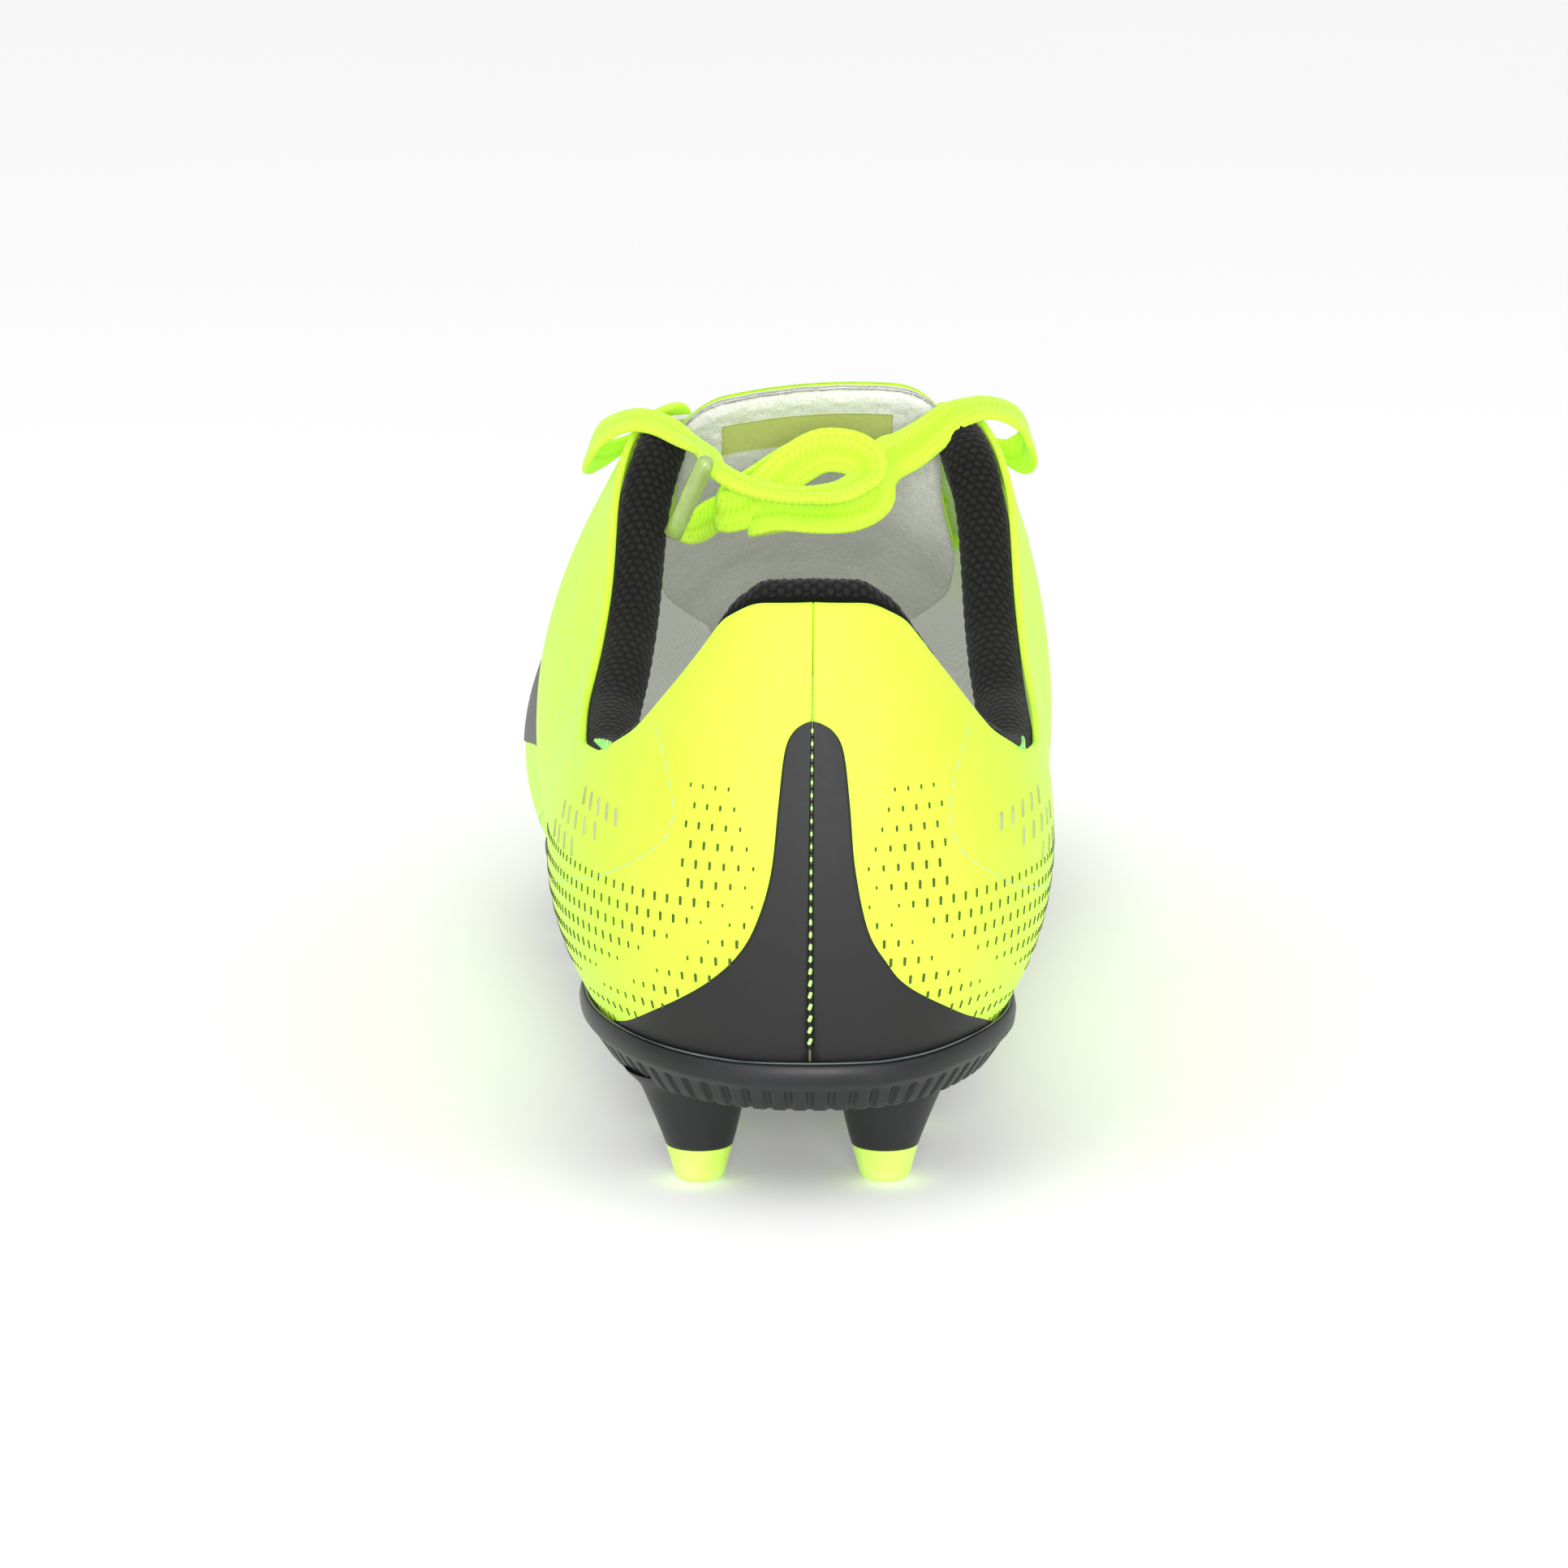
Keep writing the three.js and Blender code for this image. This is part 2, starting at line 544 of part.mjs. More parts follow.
// Film over the heel: narrow at the top, widening towards the plate, in two halves with the seam between.
const FILM_TOP = 0.585;
const FILM_BASE = 0.02;
const FILM_FLARE = 2.2; // stations it widens by at the plate
const FILM_STEM = 0.42; // stations it reaches above that
const FILM_ROUND = 0.06; // share of its height that its top is rounded over
function filmReach(w) {
  const t = (w - FILM_BASE) / (FILM_TOP - FILM_BASE);
  const flare = FILM_FLARE * Math.pow(1 - t, 4.8);
  const stem = FILM_STEM * Math.sqrt(clamp((1 - t) / FILM_ROUND, 0, 1));
  return Math.max(SEAM * 2, stem + flare);
}
for (const [name, side] of SIDES) {
  addMesh(`heel_film_${name}`, shell(5, 10, (a, b) => {
    const w = mix(FILM_BASE, FILM_TOP, b);
    return [side, mix(SEAM, filmReach(w), a), w];
  }, () => [-LAYER_GAP - GAP - FILM, -LAYER_GAP - GAP]), "film");
}

// Thread of the centre seam, in the slit between the two halves of the film.
const THREAD_WIDTH = 0.7;
const THREAD_THICKNESS = 0.5;
const THREAD_POINTS = 16;
const threadDepth = -FILM - LAYER_GAP - 1;
const seamPoints = Array.from({ length: THREAD_POINTS }, (_, i) =>
  skinPoint(1, 0, mix(0.03, 0.74, i / (THREAD_POINTS - 1)), threadDepth));
const backwards = seamPoints.map(() => new THREE.Vector3(0, -1, 0));
addMesh("heel_seam_thread", ribbon(seamPoints, backwards, THREAD_WIDTH, THREAD_THICKNESS), "thread");

// Collar: rear pad and two side pads, thick at the top line and thin below.
const PAD_RISE = 0.02; // how far it stands over the skin's edge
const PAD_SPLIT = 2.9; // station of the notch between rear and side pads
const PAD_END = 6.55; // station of the side pads' upper end
const PAD_SWELL = 0.62; // share of its height where it is thickest
const PAD_ROLL = 0.72; // share of its height where it starts to roll over
const PAD_EDGE = 0.4; // thickness left at its rim
const REAR_FULLNESS = 0.8; // the rear pad's share of the thickness
function padThickness(b, fullness) {
  const roll = Math.sqrt(1 - Math.pow(clamp((b - PAD_ROLL) / 0.3, 0, 1), 2));
  return mix(LINING, PAD * fullness, smooth(b, 0, PAD_SWELL)) * roll;
}
function collarPad(columns, from, to, fullness) {
  return shell(columns, 7, (a, b) => {
    const signed = mix(from, to, a);
    const side = signed < 0 ? -1 : 1;
    const s = Math.abs(signed);
    return [side, s, mix(padBottom(side, s), topEdge(side, s) + PAD_RISE, b)];
  }, (s, w, b) => {
    const start = mix(liningDepth(s), SKIN + LAYER_GAP, smooth(b, 0.35, 0.6)); // over the counter's edge
    return [start, start + Math.max(PAD_EDGE, padThickness(b, fullness))];
  });
}
addMesh("collar_pad_rear", collarPad(20, -PAD_SPLIT, PAD_SPLIT, REAR_FULLNESS), "mesh");
for (const [name, side] of SIDES) {
  const pad = collarPad(18, side * (PAD_SPLIT + SEAM), side * PAD_END, 1);
  addMesh(`collar_pad_${name}`, pad, "mesh");
}

// Lining below the pads and down to the insole.
const LINING_BELOW_PAD = 0.035; // as a share of the wall's height
const LINING_BELOW_EYESTAY = 2.5;
for (const [name, side] of SIDES) {
  addMesh(`lining_${name}`, shell(20, 5, (a, b) => {
    const s = mix(SEAM, FLEX_START, a);
    const padded = padBottom(side, s) - LINING_BELOW_PAD;
    const open = belowEdge(side, s, EYESTAY_WIDTH + LINING_BELOW_EYESTAY);
    const top = mix(padded, open, smooth(s, PAD_END + 0.15, PAD_END + 0.65));
    return [side, s, mix(0.03, top, b)];
  }, liningDepths), "lining");
}

// Eyestays: backing strips under the throat's edges.
for (const [name, side] of SIDES) {
  const strip = shell(14, 2, (a, b) => {
    const s = mix(6.75, THROAT_END - 0.1, a);
    return [side, s, mix(belowEdge(side, s, EYESTAY_WIDTH), topEdge(side, s) - 0.004, b)];
  }, () => [SKIN + LAYER_GAP + 0.05, SKIN + LAYER_GAP + EYESTAY]);
  addMesh(`eyestay_${name}`, cutEyelets(strip, side), "lining");
}

// ---- Tongue ----
const TONGUE_LINE = new THREE.CatmullRomCurve3([
  at(2, 171, 63.5), at(2.1, 157, 69.5), at(2.2, 140, 77.5),
  at(2.4, 118, 87), at(2.6, 103, 94.5), at(2.8, 91, 105),
]);
const TONGUE_COVER = 1.2;
const TONGUE_FELT = 2.4;
const TONGUE_HALF = { low: 16, middle: 23.5, top: 18 }; // half its width
const TONGUE_SAG = { low: 0.42, top: 0.28 }; // how far its sides hang, as a share of that half
const TONGUE_CORNER = 0.05; // rounding of its top corners, as a share of its length
function tongueHalf(t) {
  const lower = mix(TONGUE_HALF.low, TONGUE_HALF.middle, smooth(t, 0, 0.5));
  return mix(lower, TONGUE_HALF.top, smooth(t, 0.6, 0.84)) * SIDEWAYS;
}
function tonguePoint(t, across, depth) {
  const centre = TONGUE_LINE.getPoint(t);
  const along = TONGUE_LINE.getTangent(t);
  const up = new THREE.Vector3(1, 0, 0).cross(along).normalize();
  if (up.z < 0) up.negate();
  const half = tongueHalf(t);
  const sag = mix(TONGUE_SAG.low, TONGUE_SAG.top, smooth(t, 0.5, 1)) * half * across * across;
  const cornerDrop = TONGUE_CORNER * smooth(t, 0.9, 1) * Math.pow(Math.abs(across), 4);
  const shifted = TONGUE_LINE.getPoint(Math.max(0, t - cornerDrop)).sub(centre);
  return centre.add(shifted).addScaledVector(up, -sag - depth).add(new THREE.Vector3(across * half, 0, 0));
}
function tonguePiece(columns, from, to, reach, depths) {
  return slab(columns, 8, (a, b, inner) =>
    tonguePoint(mix(from, to, a), mix(-reach, reach, b), inner ? depths[1] : depths[0]));
}
const FLAP_START = 0.85; // the hinge line, just above the top crossing of the lace
const feltDepths = [TONGUE_COVER + GAP, TONGUE_COVER + GAP + TONGUE_FELT];
addMesh("tongue_cover", tonguePiece(8, 0, FLAP_START, 1, [0, TONGUE_COVER]), "skin");
addMesh("tongue_felt", tonguePiece(8, 0, FLAP_START, 0.97, feltDepths), "felt");
addMesh("tongue_flap_cover", tonguePiece(3, FLAP_START + 0.006, 1, 1, [0, TONGUE_COVER]), "skin");
addMesh("tongue_flap_felt", tonguePiece(3, FLAP_START + 0.006, 0.995, 0.97, feltDepths), "felt");
const labelDepth = feltDepths[1] + GAP;
const LABEL_THICKNESS = 0.4;
const LABEL_REACH = 0.62; // share of the tongue's half width
addMesh("tongue_label", slab(2, 5, (a, b, inner) => {
  const depth = labelDepth + (inner ? LABEL_THICKNESS : 0);
  return tonguePoint(mix(0.88, 0.97, a), mix(-LABEL_REACH, LABEL_REACH, b), depth);
}), "label");

// ---- Laces ----
// The laced part is two runs that meet under the lowest eyelets. Each crosses the throat over the tongue,
// dives under the far edge and comes up through the next eyelet.
const UNDER = SKIN + LAYER_GAP + EYESTAY + LAYER_GAP + LACE_THICKNESS / 2; // depth under the eyestay
const OVER = -LAYER_GAP - GAP - LACE_THICKNESS / 2; // depth over the skin or the tongue
const RUN_SPACING = LACE_THICKNESS + 0.75 * LACE_WIDTH; // one run over the other where they cross
// A run's height over the tongue on its way from the near edge, which stands higher on a higher last.
const CLIMB = 2.25 * LACE_THICKNESS * UPWARD;

// Where a point stands over the tongue: t along it, across from -1 to 1.
function overTongue(point) {
  const t = highest((v) => TONGUE_LINE.getPoint(v).y > point.y);
  return { t, across: (point.x - TONGUE_LINE.getPoint(t).x) / tongueHalf(t) };
}

// One crossing of the throat, from over the near edge to under the far edge.
function crossing(near, far, lift) {
  const [from, to] = [overTongue(near), overTongue(far)];
  return [0.36, 0.45, 0.55, 0.66].map((q) => {
    const over = lift * RUN_SPACING * (1 - smooth(Math.abs(q - 0.5), 0.15, 0.34));
    const climb = CLIMB * (1 - smooth(q, 0.3, 0.52));
    return tonguePoint(mix(from.t, to.t, q), mix(from.across, to.across, q), OVER - Math.max(over, climb));
  });
}

const BEND_AWAY = 2.2; // room for the lace's bend at an eyelet
const atEdge = (side, s, depth) => skinPoint(side, s, topEdge(side, s), depth);

function laceRun(startSide, lift) {
  const points = [];
  const facing = [];
  let flip = 1;
  const put = (point, direction) => {
    points.push(point);
    facing.push(direction.clone().multiplyScalar(flip));
  };
  const last = EYELETS - 1;
  const bar = overTongue(eyelet(startSide, last, UNDER));
  const onBar = (share) => tonguePoint(bar.t, bar.across * share, OVER);
  put(onBar(0).add(new THREE.Vector3(startSide * 2 * GAP, 0, 0)), new THREE.Vector3(0, 0, 1));
  put(onBar(0.4), new THREE.Vector3(0, 0, 1));
  let before = onBar(0.4);
  for (let k = last; k >= 0; k--) {
    const side = (last - k) % 2 === 0 ? startSide : -startSide;
    const [low, high] = [eyelet(side, k, UNDER), eyelet(side, k, OVER)];
    const normal = high.clone().sub(low).normalize();
    const inwards = before.clone().sub(low).normalize();
    put(low.clone().addScaledVector(inwards, BEND_AWAY), normal);
    put(low.clone().addScaledVector(normal, BEND_AWAY / 2), inwards);
    put(high.clone().addScaledVector(normal, -BEND_AWAY / 2), inwards);
    flip = -flip;
    if (k === 0) break;
    const across = crossing(high, eyelet(-side, k - 1, UNDER), lift);
    const overEdge = atEdge(side, mix(eyeletStation(k), eyeletStation(k - 1), 0.17), OVER - 4 * GAP);
    const underEdge = atEdge(-side, mix(eyeletStation(k), eyeletStation(k - 1), 0.83), UNDER + GAP);
    put(high.clone().addScaledVector(overEdge.clone().sub(high).normalize(), BEND_AWAY), normal);
    [overEdge, ...across, underEdge].forEach((point) => put(point, normal));
    before = underEdge;
  }
  return ribbon(points, facing, LACE_WIDTH, LACE_THICKNESS);
}
addMesh("lace_run_lateral", laceRun(-1, 1), "lace");
addMesh("lace_run_medial", laceRun(1, 0), "lace");

// The free ends leave the top eyelets on the outside and go over the collar.
// Inside the opening they are tucked away as a bundle.
const BUNDLE = { left: -13, right: 16, low: 84, high: 97, rear: 71, front: 84 };
const END_ROUTES = {
  lateral: [
    at(-25, 104.8, 98), at(-29.5, 99.5, 96.5), at(-31.2, 94, 97.5), at(-29.2, 89.6, 101.3),
    at(-24.8, 86.9, 103.6), at(-20.3, 84.8, 103.2), at(-16.2, 81.6, 101.2), at(-13, 78.2, 99.8),
  ],
  medial: [
    at(30.6, 105.4, 97.4), at(35, 100.5, 96.2), at(36.8, 96, 98.5), at(35, 92.5, 103),
    at(30.6, 90, 105.1), at(25.6, 87.4, 104.6), at(21.4, 84.2, 102), at(17.6, 80.8, 99.9),
  ],
};
function roundCord(points) {
  const circle = new THREE.Shape(Array.from({ length: 8 }, (_, i) => {
    const angle = (i / 8) * 2 * Math.PI;
    return new THREE.Vector2(Math.cos(angle) * END_RADIUS, Math.sin(angle) * END_RADIUS);
  }));
  return new THREE.ExtrudeGeometry(circle, { steps: 14, extrudePath: new THREE.CatmullRomCurve3(points) });
}
for (const [name] of SIDES) {
  addMesh(`lace_end_${name}`, roundCord(END_ROUTES[name]), "lace");
}

// The bundle as one outline with round ends.
const bundleLow = at(BUNDLE.left, BUNDLE.rear, BUNDLE.low);
const bundleHigh = at(BUNDLE.right, BUNDLE.front, BUNDLE.high);
const bundleRadius = (bundleHigh.z - bundleLow.z) / 2;
const bundleOutline = new THREE.Shape()
  .absarc(bundleLow.x + bundleRadius, 0, bundleRadius, Math.PI / 2, -Math.PI / 2)
  .absarc(bundleHigh.x - bundleRadius, 0, bundleRadius, -Math.PI / 2, Math.PI / 2)
  .closePath();
const bundle = addMesh("lace_bundle", new THREE.ExtrudeGeometry(bundleOutline,
  { depth: bundleHigh.y - bundleLow.y, bevelEnabled: false, curveSegments: 8 }), "lace");
bundle.rotation.x = Math.PI / 2;
bundle.position.set(0, bundleHigh.y, (bundleLow.z + bundleHigh.z) / 2);

// Plastic ends of the lace: one leans beside the bundle and one stands in front of it.
const AGLET_RADIUS = 1.5;
const AGLET_LENGTH = 14;
function addAglet(name, centre, lean) {
  const tube = new THREE.CylinderGeometry(AGLET_RADIUS, AGLET_RADIUS, AGLET_LENGTH, 10);
  tube.rotateX(Math.PI / 2).rotateY(lean);
  addMesh(name, tube, "clear").position.copy(centre);
}
addAglet("aglet_lateral", at(BUNDLE.left - 2.5, BUNDLE.rear + 1, 92.2), 0.38);
addAglet("aglet_medial", at(6, BUNDLE.front, 89).add(new THREE.Vector3(0, AGLET_RADIUS + GAP, 0)), 0);

// Plain patch on the lateral side of the forefoot.
const PATCH = { from: 8.4, to: 9.5, low: 0.25, high: 0.46, lean: 0.35 }; // stations, heights and lean
addMesh("side_patch", shell(4, 3, (a, b) => {
  const s = mix(PATCH.from, PATCH.to, a) + PATCH.lean * (b - 0.5);
  return [-1, s, mix(PATCH.low, PATCH.high, b)];
}, () => [-LAYER_GAP - FILM, -LAYER_GAP]), "film");

// The boot stands over the middle of its outline.
const boot = new THREE.Group();
boot.add(root);
const box = new THREE.Box3().setFromObject(root);
root.position.set(-(box.min.x + box.max.x) / 2, -(box.min.y + box.max.y) / 2, 0);

export default boot;
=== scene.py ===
"""Looks of a left football boot: neon upper, heel film, mesh collar, felt tongue, flat lace, plate."""
import math

import bpy
import numpy as np
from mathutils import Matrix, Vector


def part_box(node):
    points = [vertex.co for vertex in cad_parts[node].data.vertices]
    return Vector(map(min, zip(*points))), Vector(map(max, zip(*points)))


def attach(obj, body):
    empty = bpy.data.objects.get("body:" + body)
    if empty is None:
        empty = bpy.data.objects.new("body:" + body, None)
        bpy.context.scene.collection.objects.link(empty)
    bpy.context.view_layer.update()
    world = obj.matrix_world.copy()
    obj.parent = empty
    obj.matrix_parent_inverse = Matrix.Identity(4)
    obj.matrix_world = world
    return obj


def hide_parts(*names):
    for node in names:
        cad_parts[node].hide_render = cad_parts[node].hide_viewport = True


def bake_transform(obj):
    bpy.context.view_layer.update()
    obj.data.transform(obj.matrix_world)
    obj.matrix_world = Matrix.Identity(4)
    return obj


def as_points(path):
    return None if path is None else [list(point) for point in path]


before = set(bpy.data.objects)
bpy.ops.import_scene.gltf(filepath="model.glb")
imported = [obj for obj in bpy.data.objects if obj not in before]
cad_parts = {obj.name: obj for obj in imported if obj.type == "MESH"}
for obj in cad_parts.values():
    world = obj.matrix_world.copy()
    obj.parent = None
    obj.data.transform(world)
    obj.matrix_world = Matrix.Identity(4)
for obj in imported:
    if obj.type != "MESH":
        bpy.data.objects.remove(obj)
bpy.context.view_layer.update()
MM = 0.001


# ---- Frame ----
def middle(node):
    low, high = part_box(node)
    return (low + high) / 2


# The last's origin is the heel point of its seat line. A heel stud, whose place on the last is known,
# shows where that is in the row frame.
HEEL_STUD = (-13.5, 20.0)
STUD_MIDDLE = middle("stud_tip_heel_rear_lateral")
ORIGIN = np.array([STUD_MIDDLE.x - HEEL_STUD[0] * MM, STUD_MIDDLE.y - HEEL_STUD[1] * MM, 0.0])


def place(x, y, z):
    """A point given in the last's millimetres, in the row frame."""
    return ORIGIN + np.array([x, y, z], float) * MM


# ---- Camera, lights and floor ----
ELEVATION = math.radians(13)
DISTANCE = 0.75
LENS, SENSOR = 123, 36
SHIFT = (-0.0052, 0.0807)


def add_camera():
    aim = Vector(place(0, -2, 45))
    back = Vector((0, -math.cos(ELEVATION), math.sin(ELEVATION)))
    data = bpy.data.cameras.new("camera")
    data.sensor_width, data.lens = SENSOR, LENS
    data.shift_x, data.shift_y = SHIFT
    data.clip_start = 0.01
    camera = bpy.data.objects.new("camera", data)
    camera.location = aim + back * DISTANCE
    camera.rotation_mode = "QUATERNION"
    camera.rotation_quaternion = (-back).to_track_quat("-Z", "Y")
    bpy.context.scene.collection.objects.link(camera)
    bpy.context.scene.camera = camera


def add_light(name, location, size, power):
    data = bpy.data.lights.new(name, "AREA")
    data.shape = "DISK"
    data.size = size
    data.energy = power
    light = bpy.data.objects.new(name, data)
    light.location = location
    light.rotation_mode = "QUATERNION"
    light.rotation_quaternion = (Vector(location) - Vector((0, 0, 0.05))).to_track_quat("Z", "Y")
    bpy.context.scene.collection.objects.link(light)


def add_studio():
    add_light("key", (-0.6, -0.9, 1.1), 0.9, 3.0)
    add_light("fill", (0.9, -0.7, 0.8), 0.9, 1.6)
    add_light("front", (0.04, -1.3, 0.3), 0.4, 8)
    world = bpy.data.worlds.new("studio")
    world.use_nodes = True
    sky = world.node_tree.nodes["Background"]
    sky.inputs["Color"].default_value = (1, 1, 1, 1)
    sky.inputs["Strength"].default_value = 0.82
    bpy.context.scene.world = world
    bpy.context.scene.view_settings.view_transform = "Standard"


# ---- Materials ----
def srgb(red, green, blue):
    """Linear colour from 8-bit sRGB."""
    def linear(v):
        v /= 255
        return v / 12.92 if v < 0.04045 else ((v + 0.055) / 1.055) ** 2.4
    return (linear(red), linear(green), linear(blue))


class Look:
    """A material made of nodes, built step by step."""

    def __init__(self, name, color, roughness, **sockets):
        self.material = bpy.data.materials.new(name)
        self.material.use_nodes = True
        self.tree = self.material.node_tree
        self.shader = self.tree.nodes["Principled BSDF"]
        self.set(self.shader, "Base Color", color)
        self.set(self.shader, "Roughness", roughness)
        for socket, value in sockets.items():
            self.set(self.shader, socket.replace("_", " "), value)

    def set(self, node, socket, value):
        if isinstance(value, bpy.types.NodeSocket):
            self.tree.links.new(value, node.inputs[socket])
        elif isinstance(value, (tuple, list)) and len(value) == 3 and node.inputs[socket].type == "RGBA":
            node.inputs[socket].default_value = (*value, 1)
        else:
            node.inputs[socket].default_value = value

    def node(self, kind, settings=None, **sockets):
        made = self.tree.nodes.new("ShaderNode" + kind)
        for key, value in (settings or {}).items():
            setattr(made, key, value)
        for socket, value in sockets.items():
            self.set(made, socket.replace("_", " "), value)
        return made

    def place(self):
        """The row frame's coordinates of a point, in metres."""
        return self.node("TexCoord").outputs["Object"]

    def noise(self, size, detail=2.0):
        """Noise whose patches are about `size` metres across, from 0 to 1."""
        made = self.node("TexNoise", Vector=self.place(), Scale=0.6 / size, Detail=detail)
        return made.outputs["Fac"]

    def calculate(self, operation, a, b=0.0):
        made = self.node("Math", {"operation": operation})
        self.set(made, 0, a)
        self.set(made, 1, b)
        return made.outputs[0]

    def cloth(self):
        """The cloth's own coordinates: along and across in millimetres, and its relief from 0 to 1."""
        source = self.node("Attribute", {"attribute_name": "cloth"})
        split = self.node("SeparateXYZ", Vector=source.outputs["Vector"])
        return split.outputs

    def range(self, value, low, high, to_low, to_high):
        made = self.node("MapRange", {"clamp": True})
        for socket, v in (("Value", value), ("From Min", low), ("From Max", high), ("To Min", to_low),
                          ("To Max", to_high)):
            self.set(made, socket, v)
        return made.outputs["Result"]

    def product(self, a, b):
        return self.calculate("MULTIPLY", a, b)

    def blend_color(self, share, a, b):
        made = self.node("Mix", {"data_type": "RGBA"})
        self.set(made, 0, share)
        self.set(made, 6, a)
        self.set(made, 7, b)
        return made.outputs[2]

    def tint(self, share, low, high):
        """Base colour between two colours by a share from 0 to 1."""
        self.set(self.shader, "Base Color", self.blend_color(share, low, high))
        return self

    def rough(self, share, low, high):
        self.set(self.shader, "Roughness", self.range(share, 0, 1, low, high))
        return self

    def bump(self, height, distance, strength=1.0):
        made = self.node("Bump", Height=height, Distance=distance, Strength=strength)
        self.set(self.shader, "Normal", made.outputs["Normal"])
        return self


def skin_look():
    neon = srgb(198, 246, 66)
    # The emission is a painted glow that stands in for the neon's fluorescence.
    look = Look("upper_skin", neon, 0.42, Specular_IOR_Level=0.35, Emission_Color=srgb(200, 255, 56),
                Emission_Strength=0.12)
    grain = look.node("TexVoronoi", {"feature": "DISTANCE_TO_EDGE"}, Vector=look.place(), Scale=1900.0)
    pores = look.range(grain.outputs["Distance"], 0.0, 0.25, 0.0, 1.0)
    cloud = look.noise(0.02, 3)
    look.tint(look.range(cloud, 0.35, 0.65, 0, 1), srgb(194, 242, 58), srgb(202, 247, 70))
    look.rough(cloud, 0.36, 0.5)
    return look.bump(look.calculate("ADD", pores, look.noise(0.0016)), 0.00006, 0.5)


def film_look():
    look = Look("heel_film", srgb(52, 52, 50), 0.62, Specular_IOR_Level=0.4)
    speck = look.noise(0.0009, 4)
    cloud = look.noise(0.03, 2)
    share = look.product(look.range(speck, 0.3, 0.75, 0.7, 1), look.range(cloud, 0.3, 0.7, 0.7, 1))
    look.tint(share, srgb(17, 17, 18), srgb(29, 29, 29))
    look.rough(speck, 0.5, 0.62)
    return look.bump(speck, 0.00003, 0.4)


def plate_look():
    look = Look("plate", srgb(34, 35, 37), 0.4, Specular_IOR_Level=0.45)
    speck = look.noise(0.0012, 3)
    scuff = look.noise(0.012, 5)
    look.tint(look.range(scuff, 0.4, 0.7, 0, 1), srgb(18, 19, 21), srgb(30, 31, 33))
    look.rough(scuff, 0.32, 0.55)
    return look.bump(speck, 0.00004, 0.5)


def tip_look():
    # The emission is a painted glow that stands in for the neon's fluorescence.
    look = Look("stud_tip", srgb(212, 253, 119), 0.3, Subsurface_Weight=0.15, Subsurface_Scale=0.002,
                Emission_Color=srgb(200, 255, 90), Emission_Strength=0.06)
    cloud = look.noise(0.006, 3)
    look.tint(look.range(cloud, 0.35, 0.65, 0, 1), srgb(204, 248, 92), srgb(220, 255, 132))
    look.rough(cloud, 0.22, 0.4)
    return look.bump(look.noise(0.0008), 0.00003, 0.4)


def knit_look(name, dark, light):
    look = Look(name, light, 0.92, Specular_IOR_Level=0.25, Sheen_Weight=0.12, Sheen_Roughness=0.5)
    relief = look.cloth()["Z"]
    fuzz = look.noise(0.0005, 4)
    # The knit's holes are painted near black as painted shade in the holes; the raised threads keep the
    # lighter colour.
    share = look.product(look.range(relief, 0.15, 0.8, 0.0, 1.0), look.range(fuzz, 0.3, 0.7, 0.55, 1))
    look.tint(share, dark, light)
    return look.bump(fuzz, 0.00015, 0.8)


def felt_look(name="felt", low=srgb(205, 205, 198), high=srgb(238, 238, 233)):
    look = Look(name, high, 0.97, Specular_IOR_Level=0.1, Sheen_Weight=0.35, Sheen_Roughness=0.7)
    fibres = look.node("TexNoise", Vector=look.place(), Scale=1500.0, Detail=6.0, Distortion=1.6)
    cloud = look.noise(0.01, 3)
    share = look.product(fibres.outputs["Fac"], look.range(cloud, 0.3, 0.7, 0.8, 1.25))
    look.tint(look.range(share, 0.3, 0.65, 0, 1), low, high)
    return look.bump(fibres.outputs["Fac"], 0.00025, 0.9)


def woven_look(name, low, high, pitch=0.7, roughness=0.9, glow=None, glow_strength=0.08):
    """Plain weave from the cloth's coordinates: warp and weft threads that pass over each other, painted
    darker where they dip under as painted shade, with an optional painted glow.
    """
    look = Look(name, high, roughness, Specular_IOR_Level=0.25, Sheen_Weight=0.15)
    # The optional glow is painted light.
    if glow:
        look.set(look.shader, "Emission Color", glow)
        look.set(look.shader, "Emission Strength", glow_strength)
    along, across = look.cloth()["X"], look.cloth()["Y"]
    warp = look.calculate("SINE", look.product(along, 2 * math.pi / pitch))
    weft = look.calculate("SINE", look.product(across, 2 * math.pi / pitch))
    height = look.range(look.product(warp, weft), -1, 1, 0, 1)
    fuzz = look.noise(0.0006, 3)
    # Darker where the threads dip under: painted shade in the weave.
    look.tint(look.product(height, look.range(fuzz, 0.3, 0.7, 0.6, 1.2)), low, high)
    return look.bump(look.calculate("ADD", height, fuzz), 0.00012, 0.7)


def braid_look():
    # The emission is a painted glow that stands in for the neon's fluorescence.
    look = Look("lace", srgb(200, 248, 60), 0.72, Specular_IOR_Level=0.3, Sheen_Weight=0.15,
                Emission_Color=srgb(190, 255, 30), Emission_Strength=0.08)
    relief = look.cloth()["Z"]
    fuzz = look.noise(0.0005, 3)
    # Darker in the grooves between the strands: painted shade in the braid.
    share = look.product(look.range(relief, 0.0, 0.7, 0, 1), look.range(fuzz, 0.3, 0.65, 0.8, 1.1))
    look.tint(share, srgb(170, 214, 22), srgb(204, 248, 66))
    return look.bump(look.calculate("ADD", relief, look.product(fuzz, 0.5)), 0.00012, 0.8)


def plain_look(name, low, high, roughness, size, bump=0.00005, **sockets):
    """A material with soft colour variation, a roughness that follows it, and a fine surface."""
    look = Look(name, high, roughness, **sockets)
    cloud = look.noise(size, 4)
    look.tint(look.range(cloud, 0.3, 0.7, 0, 1), low, high)
    look.rough(cloud, roughness * 0.85, min(1.0, roughness * 1.12))
    return look.bump(look.noise(size / 8, 3), bump, 0.6)


